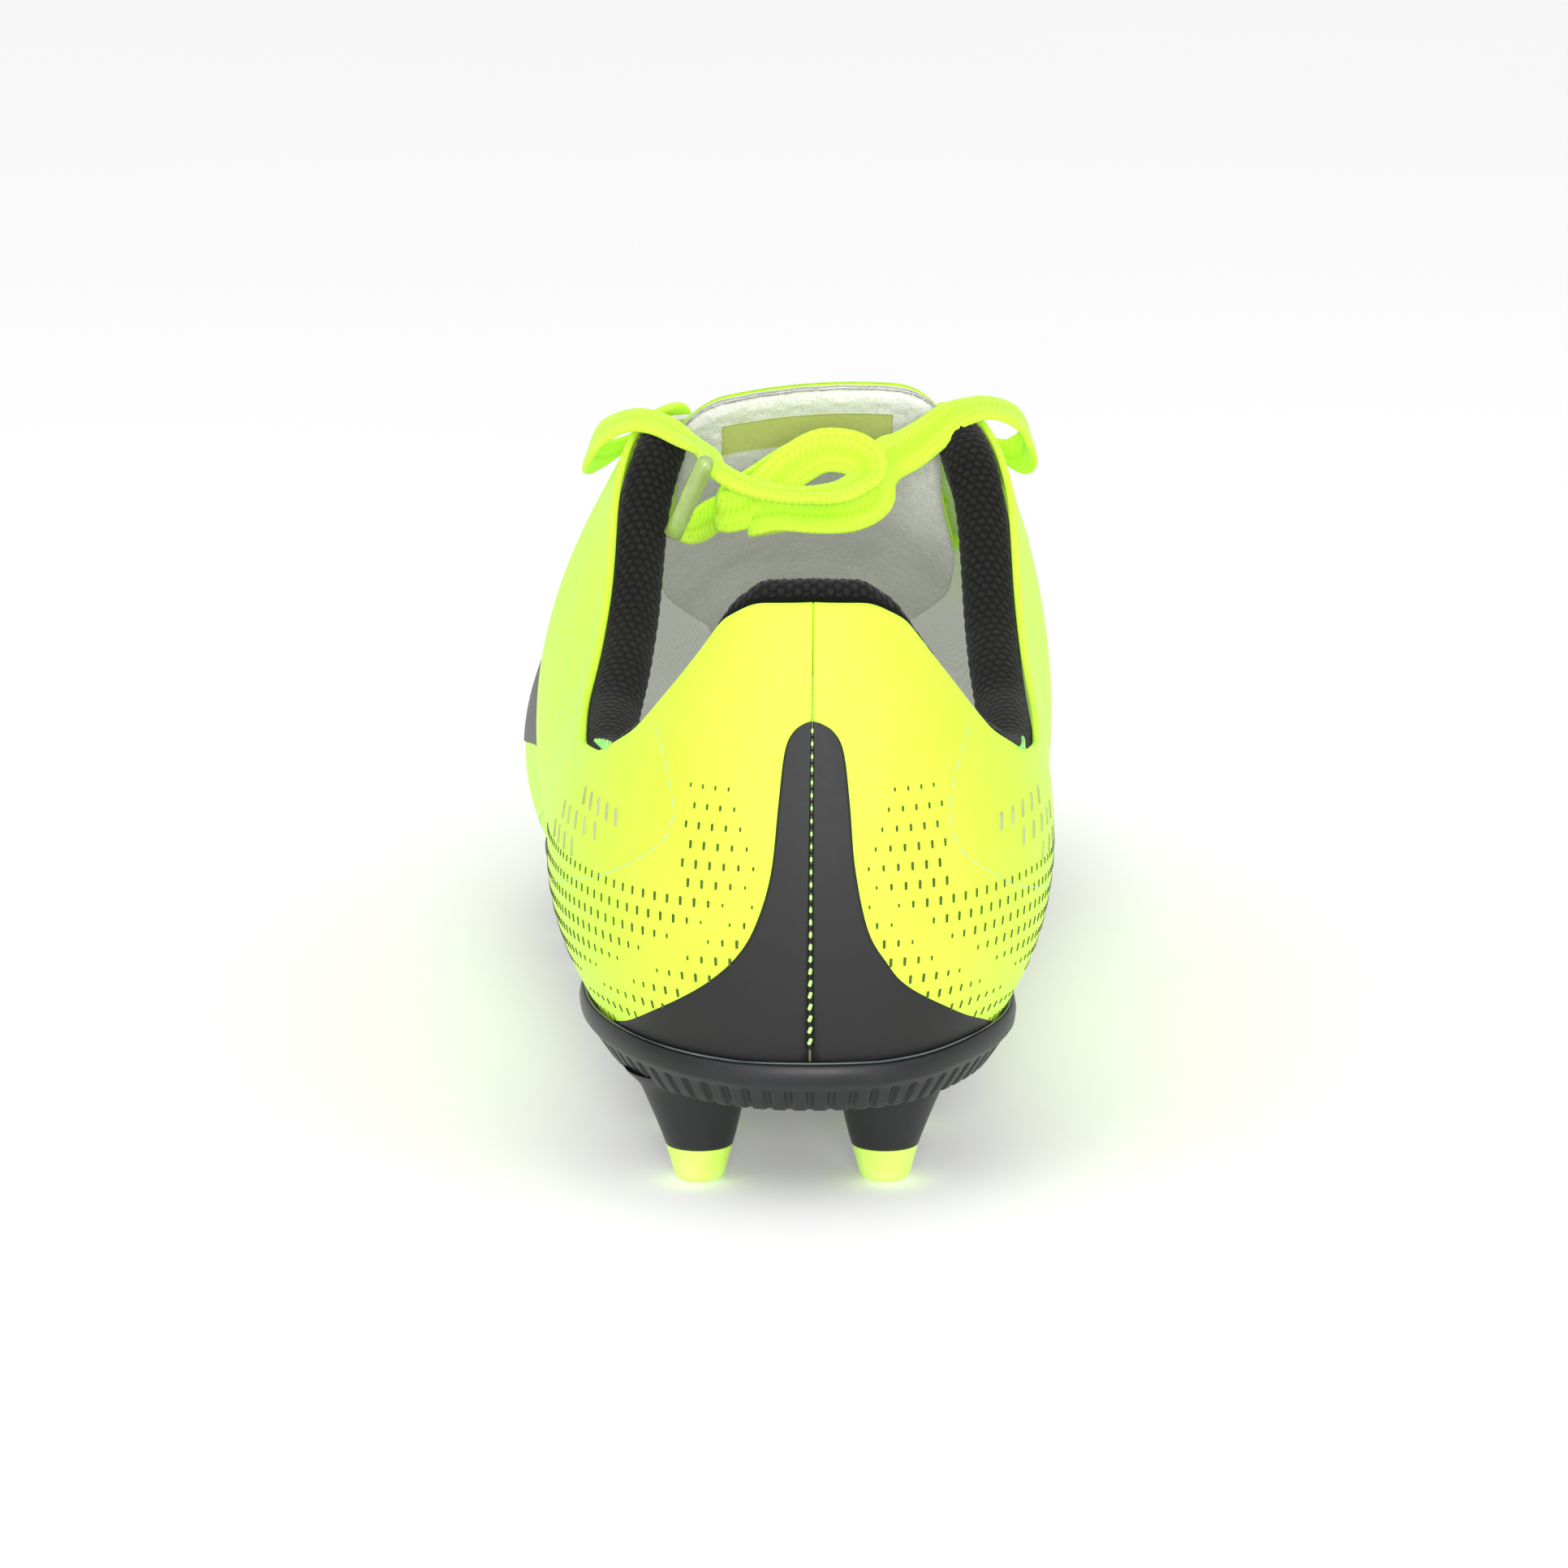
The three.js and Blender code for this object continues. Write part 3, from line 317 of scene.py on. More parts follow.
def aglet_look():
    look = Look("clear", srgb(214, 240, 150), 0.16, Transmission_Weight=0.55, IOR=1.46, Coat_Weight=0.4)
    cloud = look.noise(0.003, 3)
    look.tint(look.range(cloud, 0.3, 0.7, 0, 1), srgb(176, 205, 92), srgb(222, 240, 170))
    return look.bump(look.noise(0.0012), 0.00005, 0.5)


PAINTED_INTERIOR_LIGHT = srgb(226, 228, 222)  # painted light: a glow on the lining and insole that stands in for light reaching inside the shoe

LOOKS = {
    "skin": skin_look(),
    "film": film_look(),
    "plate": plate_look(),
    "tip": tip_look(),
    "mesh": knit_look("collar_mesh", srgb(2, 2, 2), srgb(34, 33, 31)),
    "binding": knit_look("collar_binding", srgb(8, 8, 7), srgb(44, 43, 36)),
    "felt": felt_look(),
    # The lining and the insole cloth glow with painted light in place of light reaching inside the shoe.
    "lining": woven_look("lining", srgb(194, 195, 186), srgb(228, 229, 221), 0.9, glow=PAINTED_INTERIOR_LIGHT,
                         glow_strength=0.22),
    "insole": woven_look("insole_cloth", srgb(170, 172, 168), srgb(212, 214, 208), 1.1, glow=PAINTED_INTERIOR_LIGHT,
                         glow_strength=0.16),
    "lace": braid_look(),
    "clear": aglet_look(),
    "label": woven_look("label", srgb(186, 194, 104), srgb(208, 214, 132), 0.5),
    # The thread's glow is painted light standing in for the neon's fluorescence.
    "thread": woven_look("thread", srgb(168, 226, 110), srgb(206, 246, 160), 0.35, 0.6, srgb(180, 255, 130)),
    "tie": woven_look("bartack", srgb(110, 200, 90), srgb(184, 244, 150), 0.35, 0.6),
    "print": plain_look("print", srgb(58, 72, 4), srgb(84, 98, 10), 0.55, 0.004),
    "vent": plain_look("vent", srgb(160, 163, 112), srgb(196, 198, 150), 0.7, 0.003),
    # Near black: painted shade inside the needle holes.
    "hole": plain_look("needle_hole", srgb(6, 6, 6), srgb(16, 16, 15), 0.9, 0.002),
    "glue": plain_look("glue_line", srgb(54, 62, 64), srgb(104, 112, 112), 0.35, 0.004),
    "patch": plain_look("side_patch", srgb(58, 56, 50), srgb(78, 76, 68), 0.5, 0.004),
    "board": plain_look("board", srgb(176, 168, 146), srgb(198, 190, 170), 0.9, 0.003, 0.0001),
    "foam": plain_look("foam", srgb(56, 58, 58), srgb(78, 80, 80), 0.95, 0.0015, 0.0002),
    "counter": plain_look("counter", srgb(196, 194, 184), srgb(220, 218, 208), 0.7, 0.006),
}

# ---- The last ----
# Sections from heel to toe in millimetres, each with the columns that are named below.
SECTIONS = np.array([
    [0, 2.5, 2.5, 0, 3, 0, 4, 90, 9, 9, 3, 0.4, 0.34],
    [2, -9.5, 14.5, 0.3, 3, 9, 6, 90, 10, 10, 3, 0.4, 0.34],
    [9, -19.5, 23, 1, 3.5, 15, 13, 90, 12, 13, 3, 0.4, 0.34],
    [22, -26.5, 29.5, 1.5, 4, 19, 25, 90, 14, 15, 3, 0.4, 0.34],
    [40, -29.5, 31, 1, 4.5, 21.5, 41, 90, 16, 16, 3, 0.4, 0.34],
    [62, -29.5, 29, -0.5, 4.5, 24.5, 60, 90, 18, 18, 3, 0.4, 0.34],
    [86, -29.5, 27.5, -2, 3.5, 26.5, 79, 89, 20, 21, 7, 0.34, 0.36],
    [110, -31.5, 28, -3.5, 3, 18, 96, 86, 21, 21, 17, 0.16, 0.4],
    [134, -35, 30.5, -5, 2.5, 0, 119, 76, 20, 20, 31, 0.06, 0.44],
    [158, -39, 35, -5.8, 2, 0, 145, 64, 19, 18, 31, 0.03, 0.44],
    [182, -41, 38.5, -6, 2, 0, 171, 52, 17, 17, 27, 0.03, 0.44],
    [205, -39.5, 40.5, -5, 2.5, 0, 196, 43, 16, 15, 26, 0.03, 0.44],
    [228, -33.5, 38.5, -2.3, 3.5, 0, 218, 37, 15, 14, 23, 0.03, 0.44],
    [248, -22.5, 31.5, 1.2, 5, 0, 234, 33, 14, 14, 19, 0.03, 0.44],
    [262, -8.5, 19.5, 4, 6, 0, 243, 30, 14, 14, 15, 0.03, 0.44],
    [267, 6, 6, 5.2, 6, 0, 246, 29, 14, 14, 13, 0.03, 0.44],
], float)
(ALONG, LATERAL, MEDIAL, RISE, TOP_X, TOP_HALF, TOP_ALONG, TOP_RISE, BULGE_OUT, BULGE_IN, SHOULDER, DROP,
 LIFT) = range(SECTIONS.shape[1])
TOE = len(SECTIONS) - 1
SEAT = 21.5  # height of the upper's lower edge at the heel, in millimetres


def smooth(v, low, high):
    t = np.clip((v - low) / (high - low), 0, 1)
    return t * t * (3 - 2 * t)


def mix(a, b, t):
    return a + (b - a) * t


def column(key, s, other_side=None):
    """A column of SECTIONS at station s as a smooth curve, going on round the ends with the other side."""
    other = SECTIONS[:, key if other_side is None else other_side]
    v = np.concatenate([[other[1]], SECTIONS[:, key], [other[-2]]])
    i = np.clip(np.floor(s).astype(int), 0, TOE - 1)
    a, b, c, d = v[i], v[i + 1], v[i + 2], v[i + 3]
    t = s - i
    return b + 0.5 * t * (c - a + t * (2 * a - 5 * b + 4 * c - d + t * (3 * (b - c) + d - a)))


def outline(side, s):
    past = (s < 0) | (s > TOE)
    station = np.where(s < 0, -s, np.where(s > TOE, 2 * TOE - s, s))
    lateral, medial = column(LATERAL, station, MEDIAL), column(MEDIAL, station, LATERAL)
    return np.stack([np.where((side < 0) != past, lateral, medial), column(ALONG, station)], -1)


def outward(side, s):
    step = outline(side, s + 0.02) - outline(side, s - 0.02)
    step /= np.linalg.norm(step, axis=-1, keepdims=True)
    return np.stack([side * step[..., 1], -side * step[..., 0]], -1)


def on_last(sigma, w):
    """Points in the last's millimetres. sigma is the station, negative on the lateral side; w goes from the
    lower edge to the top."""
    sigma, w = np.broadcast_arrays(np.asarray(sigma, float), np.asarray(w, float))
    side = np.where(sigma < 0, -1.0, 1.0)
    return last_point(side, np.abs(sigma), w)


BULGE_MORE, SHOULDER_LESS = 3.6, 2.6  # the worn-in shape: fuller below the ankle and slimmer above it


def last_point(side, s, w):
    side, s, w = np.broadcast_arrays(side, s, w)
    foot, n = outline(side, s), outward(side, s)
    low = SEAT + column(RISE, s)
    top = np.stack([column(TOP_X, s) + side * np.maximum(0, column(TOP_HALF, s)), column(TOP_ALONG, s),
                    SEAT + column(TOP_RISE, s)], -1)
    height = top[..., 2] - low
    fuller = (smooth(s, 0.4, 2) * (1 - smooth(s, 6, 7.6)))[..., None]
    bulge = np.where(side < 0, column(BULGE_OUT, s), column(BULGE_IN, s))[..., None] + BULGE_MORE * fuller
    shoulder = column(SHOULDER, s)[..., None] - SHOULDER_LESS * fuller
    a = np.concatenate([foot, low[..., None]], -1)
    b = np.concatenate([foot + n * bulge, (low + column(LIFT, s) * height)[..., None]], -1)
    c = np.concatenate([top[..., :2] + n * shoulder, (top[..., 2] - column(DROP, s) * height)[..., None]], -1)
    w = w[..., None]
    return (1 - w) ** 3 * a + 3 * w * (1 - w) ** 2 * b + 3 * w * w * (1 - w) * c + w ** 3 * top


def normal(side, s, w):
    step = 0.01
    along = last_point(side, s + step, w) - last_point(side, s - step, w)
    up = last_point(side, s, np.minimum(1, w + step)) - last_point(side, s, np.maximum(0, w - step))
    n = np.cross(along, up) * side[..., None]
    return n / np.linalg.norm(n, axis=-1, keepdims=True)


def skin(sigma, w, depth=0.0):
    """Points at a depth under the last's surface, in the row frame."""
    sigma, w, depth = np.broadcast_arrays(*(np.asarray(v, float) for v in (sigma, w, depth)))
    side = np.where(sigma < 0, -1.0, 1.0)
    s = np.abs(sigma)
    return ORIGIN + (last_point(side, s, w) - normal(side, s, w) * depth[..., None]) * MM


def skin_normal(sigma, w):
    sigma, w = np.broadcast_arrays(np.asarray(sigma, float), np.asarray(w, float))
    return normal(np.where(sigma < 0, -1.0, 1.0), np.abs(sigma), w)


def highest(rule, count):
    """The largest w from 0 to 1 for which a rule holds, for each of `count` places."""
    low, high = np.zeros(count), np.ones(count)
    for _ in range(22):
        half = (low + high) / 2
        holds = rule(half)
        low, high = np.where(holds, half, low), np.where(holds, high, half)
    return low


# Top line's height above the seat at stations.
TOP_LINE = np.array([
    (0, 66.5), (0.8, 66.2), (1.3, 63.5), (1.8, 56), (2.4, 46.5), (3, 41.5), (3.7, 40.5), (4.4, 45), (5, 53.5),
    (5.6, 66), (6.1, 75.5), (6.6, 80.5), (7.4, 83),
])
THROAT_TOP = 7.3
THROAT_END = 9.9
THROAT_ROUND = 0.3  # stations over which the throat closes in a round end
FLEX_START = 10.25
EYELETS = 6
EYELET_INSET = 6.5


def throat_half(s):
    open_half = mix(22, 8, np.clip((s - 6.6) / (THROAT_END - 6.6), 0, 1))
    closing = np.sqrt(np.clip(1 - ((s - THROAT_END) / THROAT_ROUND) ** 2, 0, 1))
    return np.where(s < THROAT_END, open_half, open_half * closing)


def edge_table(side):
    """w of the upper's top edge at stations 0, 0.01, 0.02..."""
    s = np.arange(0, 10.6, 0.01)
    sides = np.full(len(s), float(side))
    line = SEAT + np.interp(s, TOP_LINE[:, 0], TOP_LINE[:, 1])
    under_line = highest(lambda w: last_point(sides, s, w)[:, 2] < line, len(s))
    half = throat_half(s)
    ridge = column(TOP_X, s)
    beside = highest(lambda w: side * (last_point(sides, s, w)[:, 0] - ridge) > half, len(s))
    edge = np.minimum(np.where(s > THROAT_TOP, 1, under_line), np.where(s < 6.3, 1, beside))
    reach = np.arange(-24, 25)
    kernel = np.exp(-(reach / 11.0) ** 2)
    mirrored = np.concatenate([edge[24:0:-1], edge, edge[-25:-1][::-1]])
    rounded = np.convolve(mirrored, kernel / kernel.sum(), "same")
    return s, mix(rounded[24:-24], edge, smooth(s, 9.2, 9.6))


EDGES = {side: edge_table(side) for side in (-1, 1)}


def top_edge(sigma):
    sigma = np.asarray(sigma, float)
    lateral = np.interp(np.abs(sigma), *EDGES[-1])
    medial = np.interp(np.abs(sigma), *EDGES[1])
    return np.where(sigma < 0, lateral, medial)


def below_edge(sigma, distance):
    """w of the place a distance in millimetres below the top edge."""
    sigma = np.atleast_1d(np.asarray(sigma, float))
    top = top_edge(sigma)
    start = on_last(sigma, top)
    far = lambda w: (w < top) & (np.linalg.norm(on_last(sigma, w) - start, axis=-1) > distance)
    return highest(far, len(sigma))


# ---- Meshes ----
MERGE = 1e-7  # points closer than this, in metres, are one


def quads(columns, rows, around=False):
    """Faces of a grid of points, which closes on itself across its rows if it goes around."""
    i, j = np.meshgrid(np.arange(columns - 1), np.arange(rows if around else rows - 1), indexing="ij")
    k = (j + 1) % rows
    return np.stack([i * rows + j, (i + 1) * rows + j, (i + 1) * rows + k, i * rows + k], -1).reshape(-1, 4)


def cap(first, count):
    """Faces that close a flat ring of points by pairing its two halves."""
    k = np.arange(count // 2 - 1)
    return np.stack([k, k + 1, count - 2 - k, count - 1 - k], -1) + first


def closed_faces(columns, rows):
    """Faces of a closed body of rings: its walls and its two ends."""
    ends = cap(0, rows)[:, ::-1], cap((columns - 1) * rows, rows)
    return np.concatenate([quads(columns, rows, True), *ends])


def volume(points, faces):
    a, b, c, d = (points[faces[:, k]] for k in range(4))
    return np.einsum("ij,ij->", a, np.cross(b, c)) + np.einsum("ij,ij->", a, np.cross(c, d))


def add_mesh(name, points, faces, look, cloth=None):
    points = np.asarray(points, float).reshape(-1, 3)
    faces = np.asarray(faces)
    if volume(points - points.mean(0), faces) < 0:
        faces = faces[:, ::-1]
    _, kept, same = np.unique(np.round(points / MERGE), axis=0, return_index=True, return_inverse=True)
    faces = [list(dict.fromkeys(f)) for f in same.reshape(-1)[faces].tolist()]
    mesh = bpy.data.meshes.new(name)
    mesh.from_pydata(points[kept].tolist(), [], [f for f in faces if len(f) > 2])
    mesh.polygons.foreach_set("use_smooth", np.ones(len(mesh.polygons), bool))
    if cloth is not None:
        attribute = mesh.attributes.new("cloth", "FLOAT_VECTOR", "POINT")
        attribute.data.foreach_set("vector", np.asarray(cloth, np.float32).reshape(-1, 3)[kept].ravel())
    mesh.materials.append(LOOKS[look].material)
    made = bpy.data.objects.new(name, mesh)
    bpy.context.scene.collection.objects.link(made)
    return made


def swept(name, rings, look, cloth=None):
    """A closed body through rings of points, capped at both ends."""
    return add_mesh(name, rings, closed_faces(*rings.shape[:2]), look, cloth)


def sheet(name, face, back, look):
    """A thin closed sheet between two faces, with the cloth's coordinates measured on its outer face."""
    rings = np.concatenate([face, back[:, ::-1]], 1)
    grids = (lengths(face, 0), lengths(face, 1), np.ones(face.shape[:2]))
    cloth = np.stack([np.concatenate([c, c[:, ::-1]], 1) for c in grids], -1)
    return swept(name, rings, look, cloth)


def many(name, bodies, look):
    """One mesh of many small closed bodies, each an array of rings."""
    points, faces, first = [], [], 0
    for rings in bodies:
        part = closed_faces(*rings.shape[:2])
        flat = rings.reshape(-1, 3)
        if volume(flat - flat.mean(0), part) < 0:
            part = part[:, ::-1]
        points.append(flat)
        faces.append(part + first)
        first += len(flat)
    points, faces = np.concatenate(points), np.concatenate(faces)
    cloth = np.concatenate([points[:, :2] / MM, np.ones((len(points), 1))], 1)
    return add_mesh(name, points, faces, look, cloth)


def lengths(points, axis=0):
    """Distance in millimetres along a line of points."""
    step = np.linalg.norm(np.diff(points, axis=axis), axis=-1) / MM
    start = np.zeros_like(np.take(step, [0], axis=axis))
    return np.concatenate([start, np.cumsum(step, axis=axis)], axis=axis)


EDGE_STEPS = 5


def layer(name, sigma, low, high, outer, inner, rows, look):
    """A closed layer of the upper between two depths, with round upper and lower edges. low and high are w at
    each column; outer and inner are depths in millimetres, as numbers or functions of the grid."""
    share = np.linspace(0, 1, rows)[None, :]
    columns = np.asarray(sigma, float)[:, None]
    w = mix(np.asarray(low)[:, None], np.asarray(high)[:, None], share)
    depth = lambda d: np.broadcast_to(d(columns, w, share) if callable(d) else d, w.shape).astype(float)
    face, back = skin(columns, w, depth(outer)), skin(columns, w, depth(inner))
    u = np.broadcast_to(lengths(face, 0).mean(1)[:, None], w.shape)
    v = lengths(face, 1)
    relief = np.full(w.shape, 0.8)

    def edge(j, beyond):
        away = face[:, j] - face[:, beyond]
        away /= np.linalg.norm(away, axis=-1, keepdims=True)
        centre, half = (face[:, j] + back[:, j]) / 2, (face[:, j] - back[:, j]) / 2
        radius = np.linalg.norm(half, axis=-1, keepdims=True)
        angles = np.linspace(0, math.pi, EDGE_STEPS + 2)[1:-1]
        return np.stack([centre + half * math.cos(t) + away * radius * math.sin(t) for t in angles], 1)

    upper, lower = edge(-1, -2), edge(0, 1)[:, ::-1]
    rings = np.concatenate([face, upper, back[:, ::-1], lower], 1)
    level = lambda values: np.repeat(values, EDGE_STEPS, 1)
    around = lambda c: np.concatenate([c, level(c[:, -1:]), c[:, ::-1], level(c[:, :1])], 1)
    cloth = np.stack([around(u), around(v), around(relief)], -1)
    return swept(name, rings, look, cloth)


def curve(points, count):
    """A smooth line of `count` points through the given ones, evenly spaced."""
    p = np.asarray(points, float)
    p = np.concatenate([2 * p[:1] - p[1:2], p, 2 * p[-1:] - p[-2:-1]])
    fine = []
    for i in range(1, len(p) - 2):
        t = np.linspace(0, 1, 24, endpoint=False)[:, None]
        a, b, c, d = p[i - 1], p[i], p[i + 1], p[i + 2]
        fine.append(b + 0.5 * t * (c - a + t * (2 * a - 5 * b + 4 * c - d + t * (3 * (b - c) + d - a))))
    fine = np.concatenate(fine + [p[-2:-1]])
    run = np.concatenate([[0], np.cumsum(np.linalg.norm(np.diff(fine, axis=0), axis=1))])
    even = np.linspace(0, run[-1], count)
    return np.stack([np.interp(even, run, fine[:, k]) for k in range(p.shape[1])], 1)


def unit(v):
    v = np.asarray(v, float)
    return v / np.linalg.norm(v, axis=-1, keepdims=True)


def ride(piece, body, slot, *nodes):
    """Puts a piece on its body and hides the CAD nodes that it stands for; the slot is not used."""
    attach(piece, body)
    if nodes:
        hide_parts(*nodes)
    return piece


def bend(piece, slot, *nodes):
    if nodes:
        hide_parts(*nodes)
    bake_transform(piece)
    return piece


# ---- Laces ----
LACE_WIDTH, LACE_THICKNESS = 6.8, 1.35
END_RADIUS = 1.95


def turning_frames(points, hints):
    """Across and facing directions of a flat cord, with the least twist between the hinted facings.
    hints maps a share of the length to the direction that the broad face looks in there."""
    along = unit(np.gradient(points, axis=0))
    face = unit(np.cross(along[0], np.cross(hints[0][1], along[0])))
    faces = [face]
    for i in range(1, len(points)):
        face = unit(face - along[i] * np.dot(face, along[i]))
        faces.append(face)
    faces = np.array(faces)
    sides = np.cross(along, faces)
    places, angles, before = [], [], 0.0
    for share, direction in hints:
        i = int(round(share * (len(points) - 1)))
        angle = math.atan2(np.dot(direction, sides[i]), np.dot(direction, faces[i]))
        angle += math.pi * round((before - angle) / math.pi)
        places.append(share)
        angles.append(angle)
        before = angle
    turn = np.interp(np.linspace(0, 1, len(points)), places, angles)[:, None]
    reach = 12
    kernel = np.hanning(2 * reach + 1)
    padded = np.pad(turn[:, 0], reach, mode="edge")
    turn = np.convolve(padded, kernel / kernel.sum(), "valid")[:, None]
    facing = faces * np.cos(turn) + sides * np.sin(turn)
    return np.cross(along, facing), facing


def flat_lace(name, route, hints, width, widths):
    """A braided flat lace along a route. widths holds (share of length, share of width) pairs."""
    length = lengths(curve(route, 400))[-1]
    count = int(length / 0.3)
    points = curve(route, count)
    across, facing = turning_frames(points, hints)
    share = np.linspace(0, 1, count)
    factor = np.interp(share, *np.array(widths).T)
    angle = np.linspace(0, 2 * math.pi, 36, endpoint=False)
    x = np.sign(np.cos(angle)) * np.abs(np.cos(angle)) ** 0.7
    z = np.sign(np.sin(angle)) * np.abs(np.sin(angle)) ** 0.6
    u = (share * length)[:, None]
    v = x[None, :] * width / 2 * factor[:, None]
    rows_across = np.abs(np.mod(v / 1.05, 1) - 0.5) * 2
    strands = np.sin(2 * math.pi * (u / 0.95 + np.abs(np.mod(v / 1.05, 2) - 1) * 0.55))
    relief = np.clip(0.62 + 0.22 * strands - 0.42 * rows_across ** 6, 0, 1)
    thick = LACE_THICKNESS / 2 * (1 + 0.25 * (1 - factor))[:, None]
    rings = (points[:, None] + across[:, None] * (v * MM)[..., None]
             + facing[:, None] * (z[None, :] * (thick + 0.05 * (relief - 0.5)) * MM)[..., None])
    cloth = np.stack([np.broadcast_to(u, v.shape), v, relief], -1)
    return swept(name, rings, "lace", cloth), points, length * MM


# The free ends leave the top eyelets on the outside, go over the collar and are tucked into the opening.
END_ROUTES = {
    "lateral": [(-25, 104.8, 98), (-29.5, 99.5, 96.5), (-31.2, 94, 97.5), (-29.2, 89.6, 101.3),
                (-24.8, 86.9, 103.6), (-20.3, 84.8, 103.2), (-16.2, 81.6, 101.2), (-13, 78.2, 99.8)],
    "medial": [(30.6, 105.4, 97.4), (35, 100.5, 96.2), (36.8, 96, 98.5), (35, 92.5, 103), (30.6, 90, 105.1),
               (25.6, 87.4, 104.6), (21.4, 84.2, 102), (17.6, 80.8, 99.9)],
}
# On from there, inside the bundle.
TUCKED_ROUTES = {
    "lateral": [(-11.8, 73.6, 96.6), (-8.2, 71, 94.6), (-3, 70, 93.2), (3, 69.8, 92.8), (8.2, 70.4, 93.6),
                (11.4, 72.4, 95.8), (9.8, 74.8, 98.2), (5, 75.8, 98.8), (0.8, 76, 96.8), (-3, 75.4, 93.6),
                (-7, 74.8, 90.4), (-10.8, 75.8, 89.4), (-10.2, 78.4, 91), (-5, 79.4, 94), (0, 79.8, 97),
                (4.6, 80.6, 98.8), (5.4, 83, 98), (0, 83.8, 94.8), (-6.5, 83.4, 90.8), (-12, 80.5, 88),
                (-15.6, 76.5, 86.6), (-17.6, 73.4, 87.4)],
    "medial": [(14.4, 77.4, 97), (12.8, 74.6, 94.4), (12.6, 73.4, 91.4), (9, 72.8, 89.4), (3.5, 72.4, 88.8),
               (-2, 72.8, 89.2), (-5.4, 74.4, 88.4), (-4.6, 77.8, 88), (1, 79, 89), (7, 79, 90.6),
               (11.8, 78.4, 92.8), (13.4, 80.4, 95), (10.4, 82.8, 96.2), (4, 84, 96.6), (-2, 84.4, 95.6),
               (-7, 85.2, 93.4), (-7.4, 87.4, 91), (-3.2, 87.4, 89.4)],
}
UP = np.array([0.0, 0.0, 1.0])
# Where the broad face looks, at shares of the length.
END_FACINGS = {
    "lateral": [(0.0, (-0.8, 0, 0.6)), (0.11, (-0.95, -0.1, 0.3)), (0.19, (-0.1, -0.3, 1)),
                (0.27, (0.4, -0.6, 0.6)), (0.33, (0.1, -0.5, 0.85)), (0.44, (0, -0.35, 0.95)),
                (0.56, (-0.3, -0.9, -0.1)), (0.75, (0.5, -0.8, -0.5)), (1.0, (0.6, -0.7, 0.2))],
    "medial": [(0.0, (0.8, 0, 0.6)), (0.12, (0.95, -0.1, 0.3)), (0.21, (0.1, -0.3, 1)),
               (0.3, (-0.2, -0.85, 0.5)), (0.36, (0.2, -0.95, 0.1)), (0.5, (0, -0.6, 0.8)),
               (0.75, (0, -0.8, 0.5)), (1.0, (0, -0.9, 0.2))],
}
# Share of the full width, at shares of the length: narrower in the eyelet, over the collar and at the aglet.
END_WIDTHS = {
    "lateral": [(0, 0.6), (0.06, 0.9), (0.2, 0.9), (0.28, 0.6), (0.4, 0.6), (0.46, 1), (0.95, 0.95),
                (1, 0.45)],
    "medial": [(0, 0.6), (0.06, 0.95), (0.36, 1.05), (0.42, 0.8), (0.6, 0.8), (0.95, 0.9), (1, 0.45)],
}


def add_lace_ends():
    sink = END_RADIUS - LACE_THICKNESS / 2 + 0.5
    for side in ("lateral", "medial"):
        outside = [place(*p) - UP * sink * MM for p in END_ROUTES[side]]
        route = outside + [place(*p) for p in TUCKED_ROUTES[side]]
        lace, points, length = flat_lace(f"lace_end_{side}_braid", route, END_FACINGS[side], LACE_WIDTH,
                                         END_WIDTHS[side])
        replaced = [f"lace_end_{side}"] + (["lace_bundle"] if side == "lateral" else [])
        ride(lace, "rear_foot", "lace", *replaced)
        aglet = add_aglet(side, points[-1])
        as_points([tuple(p) for p in points[::10]] + [tuple(points[-1])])


def lathe_rings(profile, centre, axis, sides=32):
    """Rings of a turned body: profile holds (distance along the axis, radius) pairs in millimetres."""
    axis = unit(axis)
    first = unit(np.cross(axis, (0, 1, 0) if abs(axis[1]) < 0.9 else (1, 0, 0)))
    second = np.cross(axis, first)
    angle = np.linspace(0, 2 * math.pi, sides, endpoint=False)
    circle = np.cos(angle)[:, None] * first + np.sin(angle)[:, None] * second
    return np.stack([np.asarray(centre) + (axis * a + circle * r) * MM for a, r in profile])


def add_aglet(side, start):
    """The sleeve on a lace's end: the lateral one in line with the lace, the medial one across."""
    centre = np.array(middle(f"aglet_{side}"))
    axis = unit(centre - start) if side == "lateral" else np.array([1.0, 0, 0])
    profile = [(-7, 0.05), (-7, 1.3), (-6.7, 1.5), (-3, 1.42), (2, 1.45), (5.5, 1.4), (6.6, 1.2), (7, 0.8),
               (7, 0.05)]
    rings = lathe_rings(profile, centre, axis, 24)
    return ride(swept(f"aglet_{side}_sleeve", rings, "clear"), "rear_foot", "aglet", f"aglet_{side}")


# ---- Upper ----
SIDES = ((-1, "lateral"), (1, "medial"))
SEAM = 0.012  # half of the gap between the quarters at the heel, in stations
QUARTER_FRONT = THROAT_END + 0.08  # station of the quarters' front edge
QUARTER_DEPTH = 1.2


def add_quarters():
    for side, name in SIDES:
        s = np.concatenate([np.linspace(SEAM, 0.12, 7)[:-1], np.linspace(0.12, QUARTER_FRONT, 300)])
        heel_round = lambda c, w, b: 0.45 * (1 - smooth(np.abs(c), SEAM, 0.07)) ** 2
        piece = layer(f"quarter_{name}_skin", side * s, np.full(len(s), 0.004), top_edge(side * s) - 0.004,
                      heel_round, QUARTER_DEPTH, 70, "skin")
        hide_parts(f"quarter_{name}")
        cut_holes(piece, side)
        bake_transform(piece)


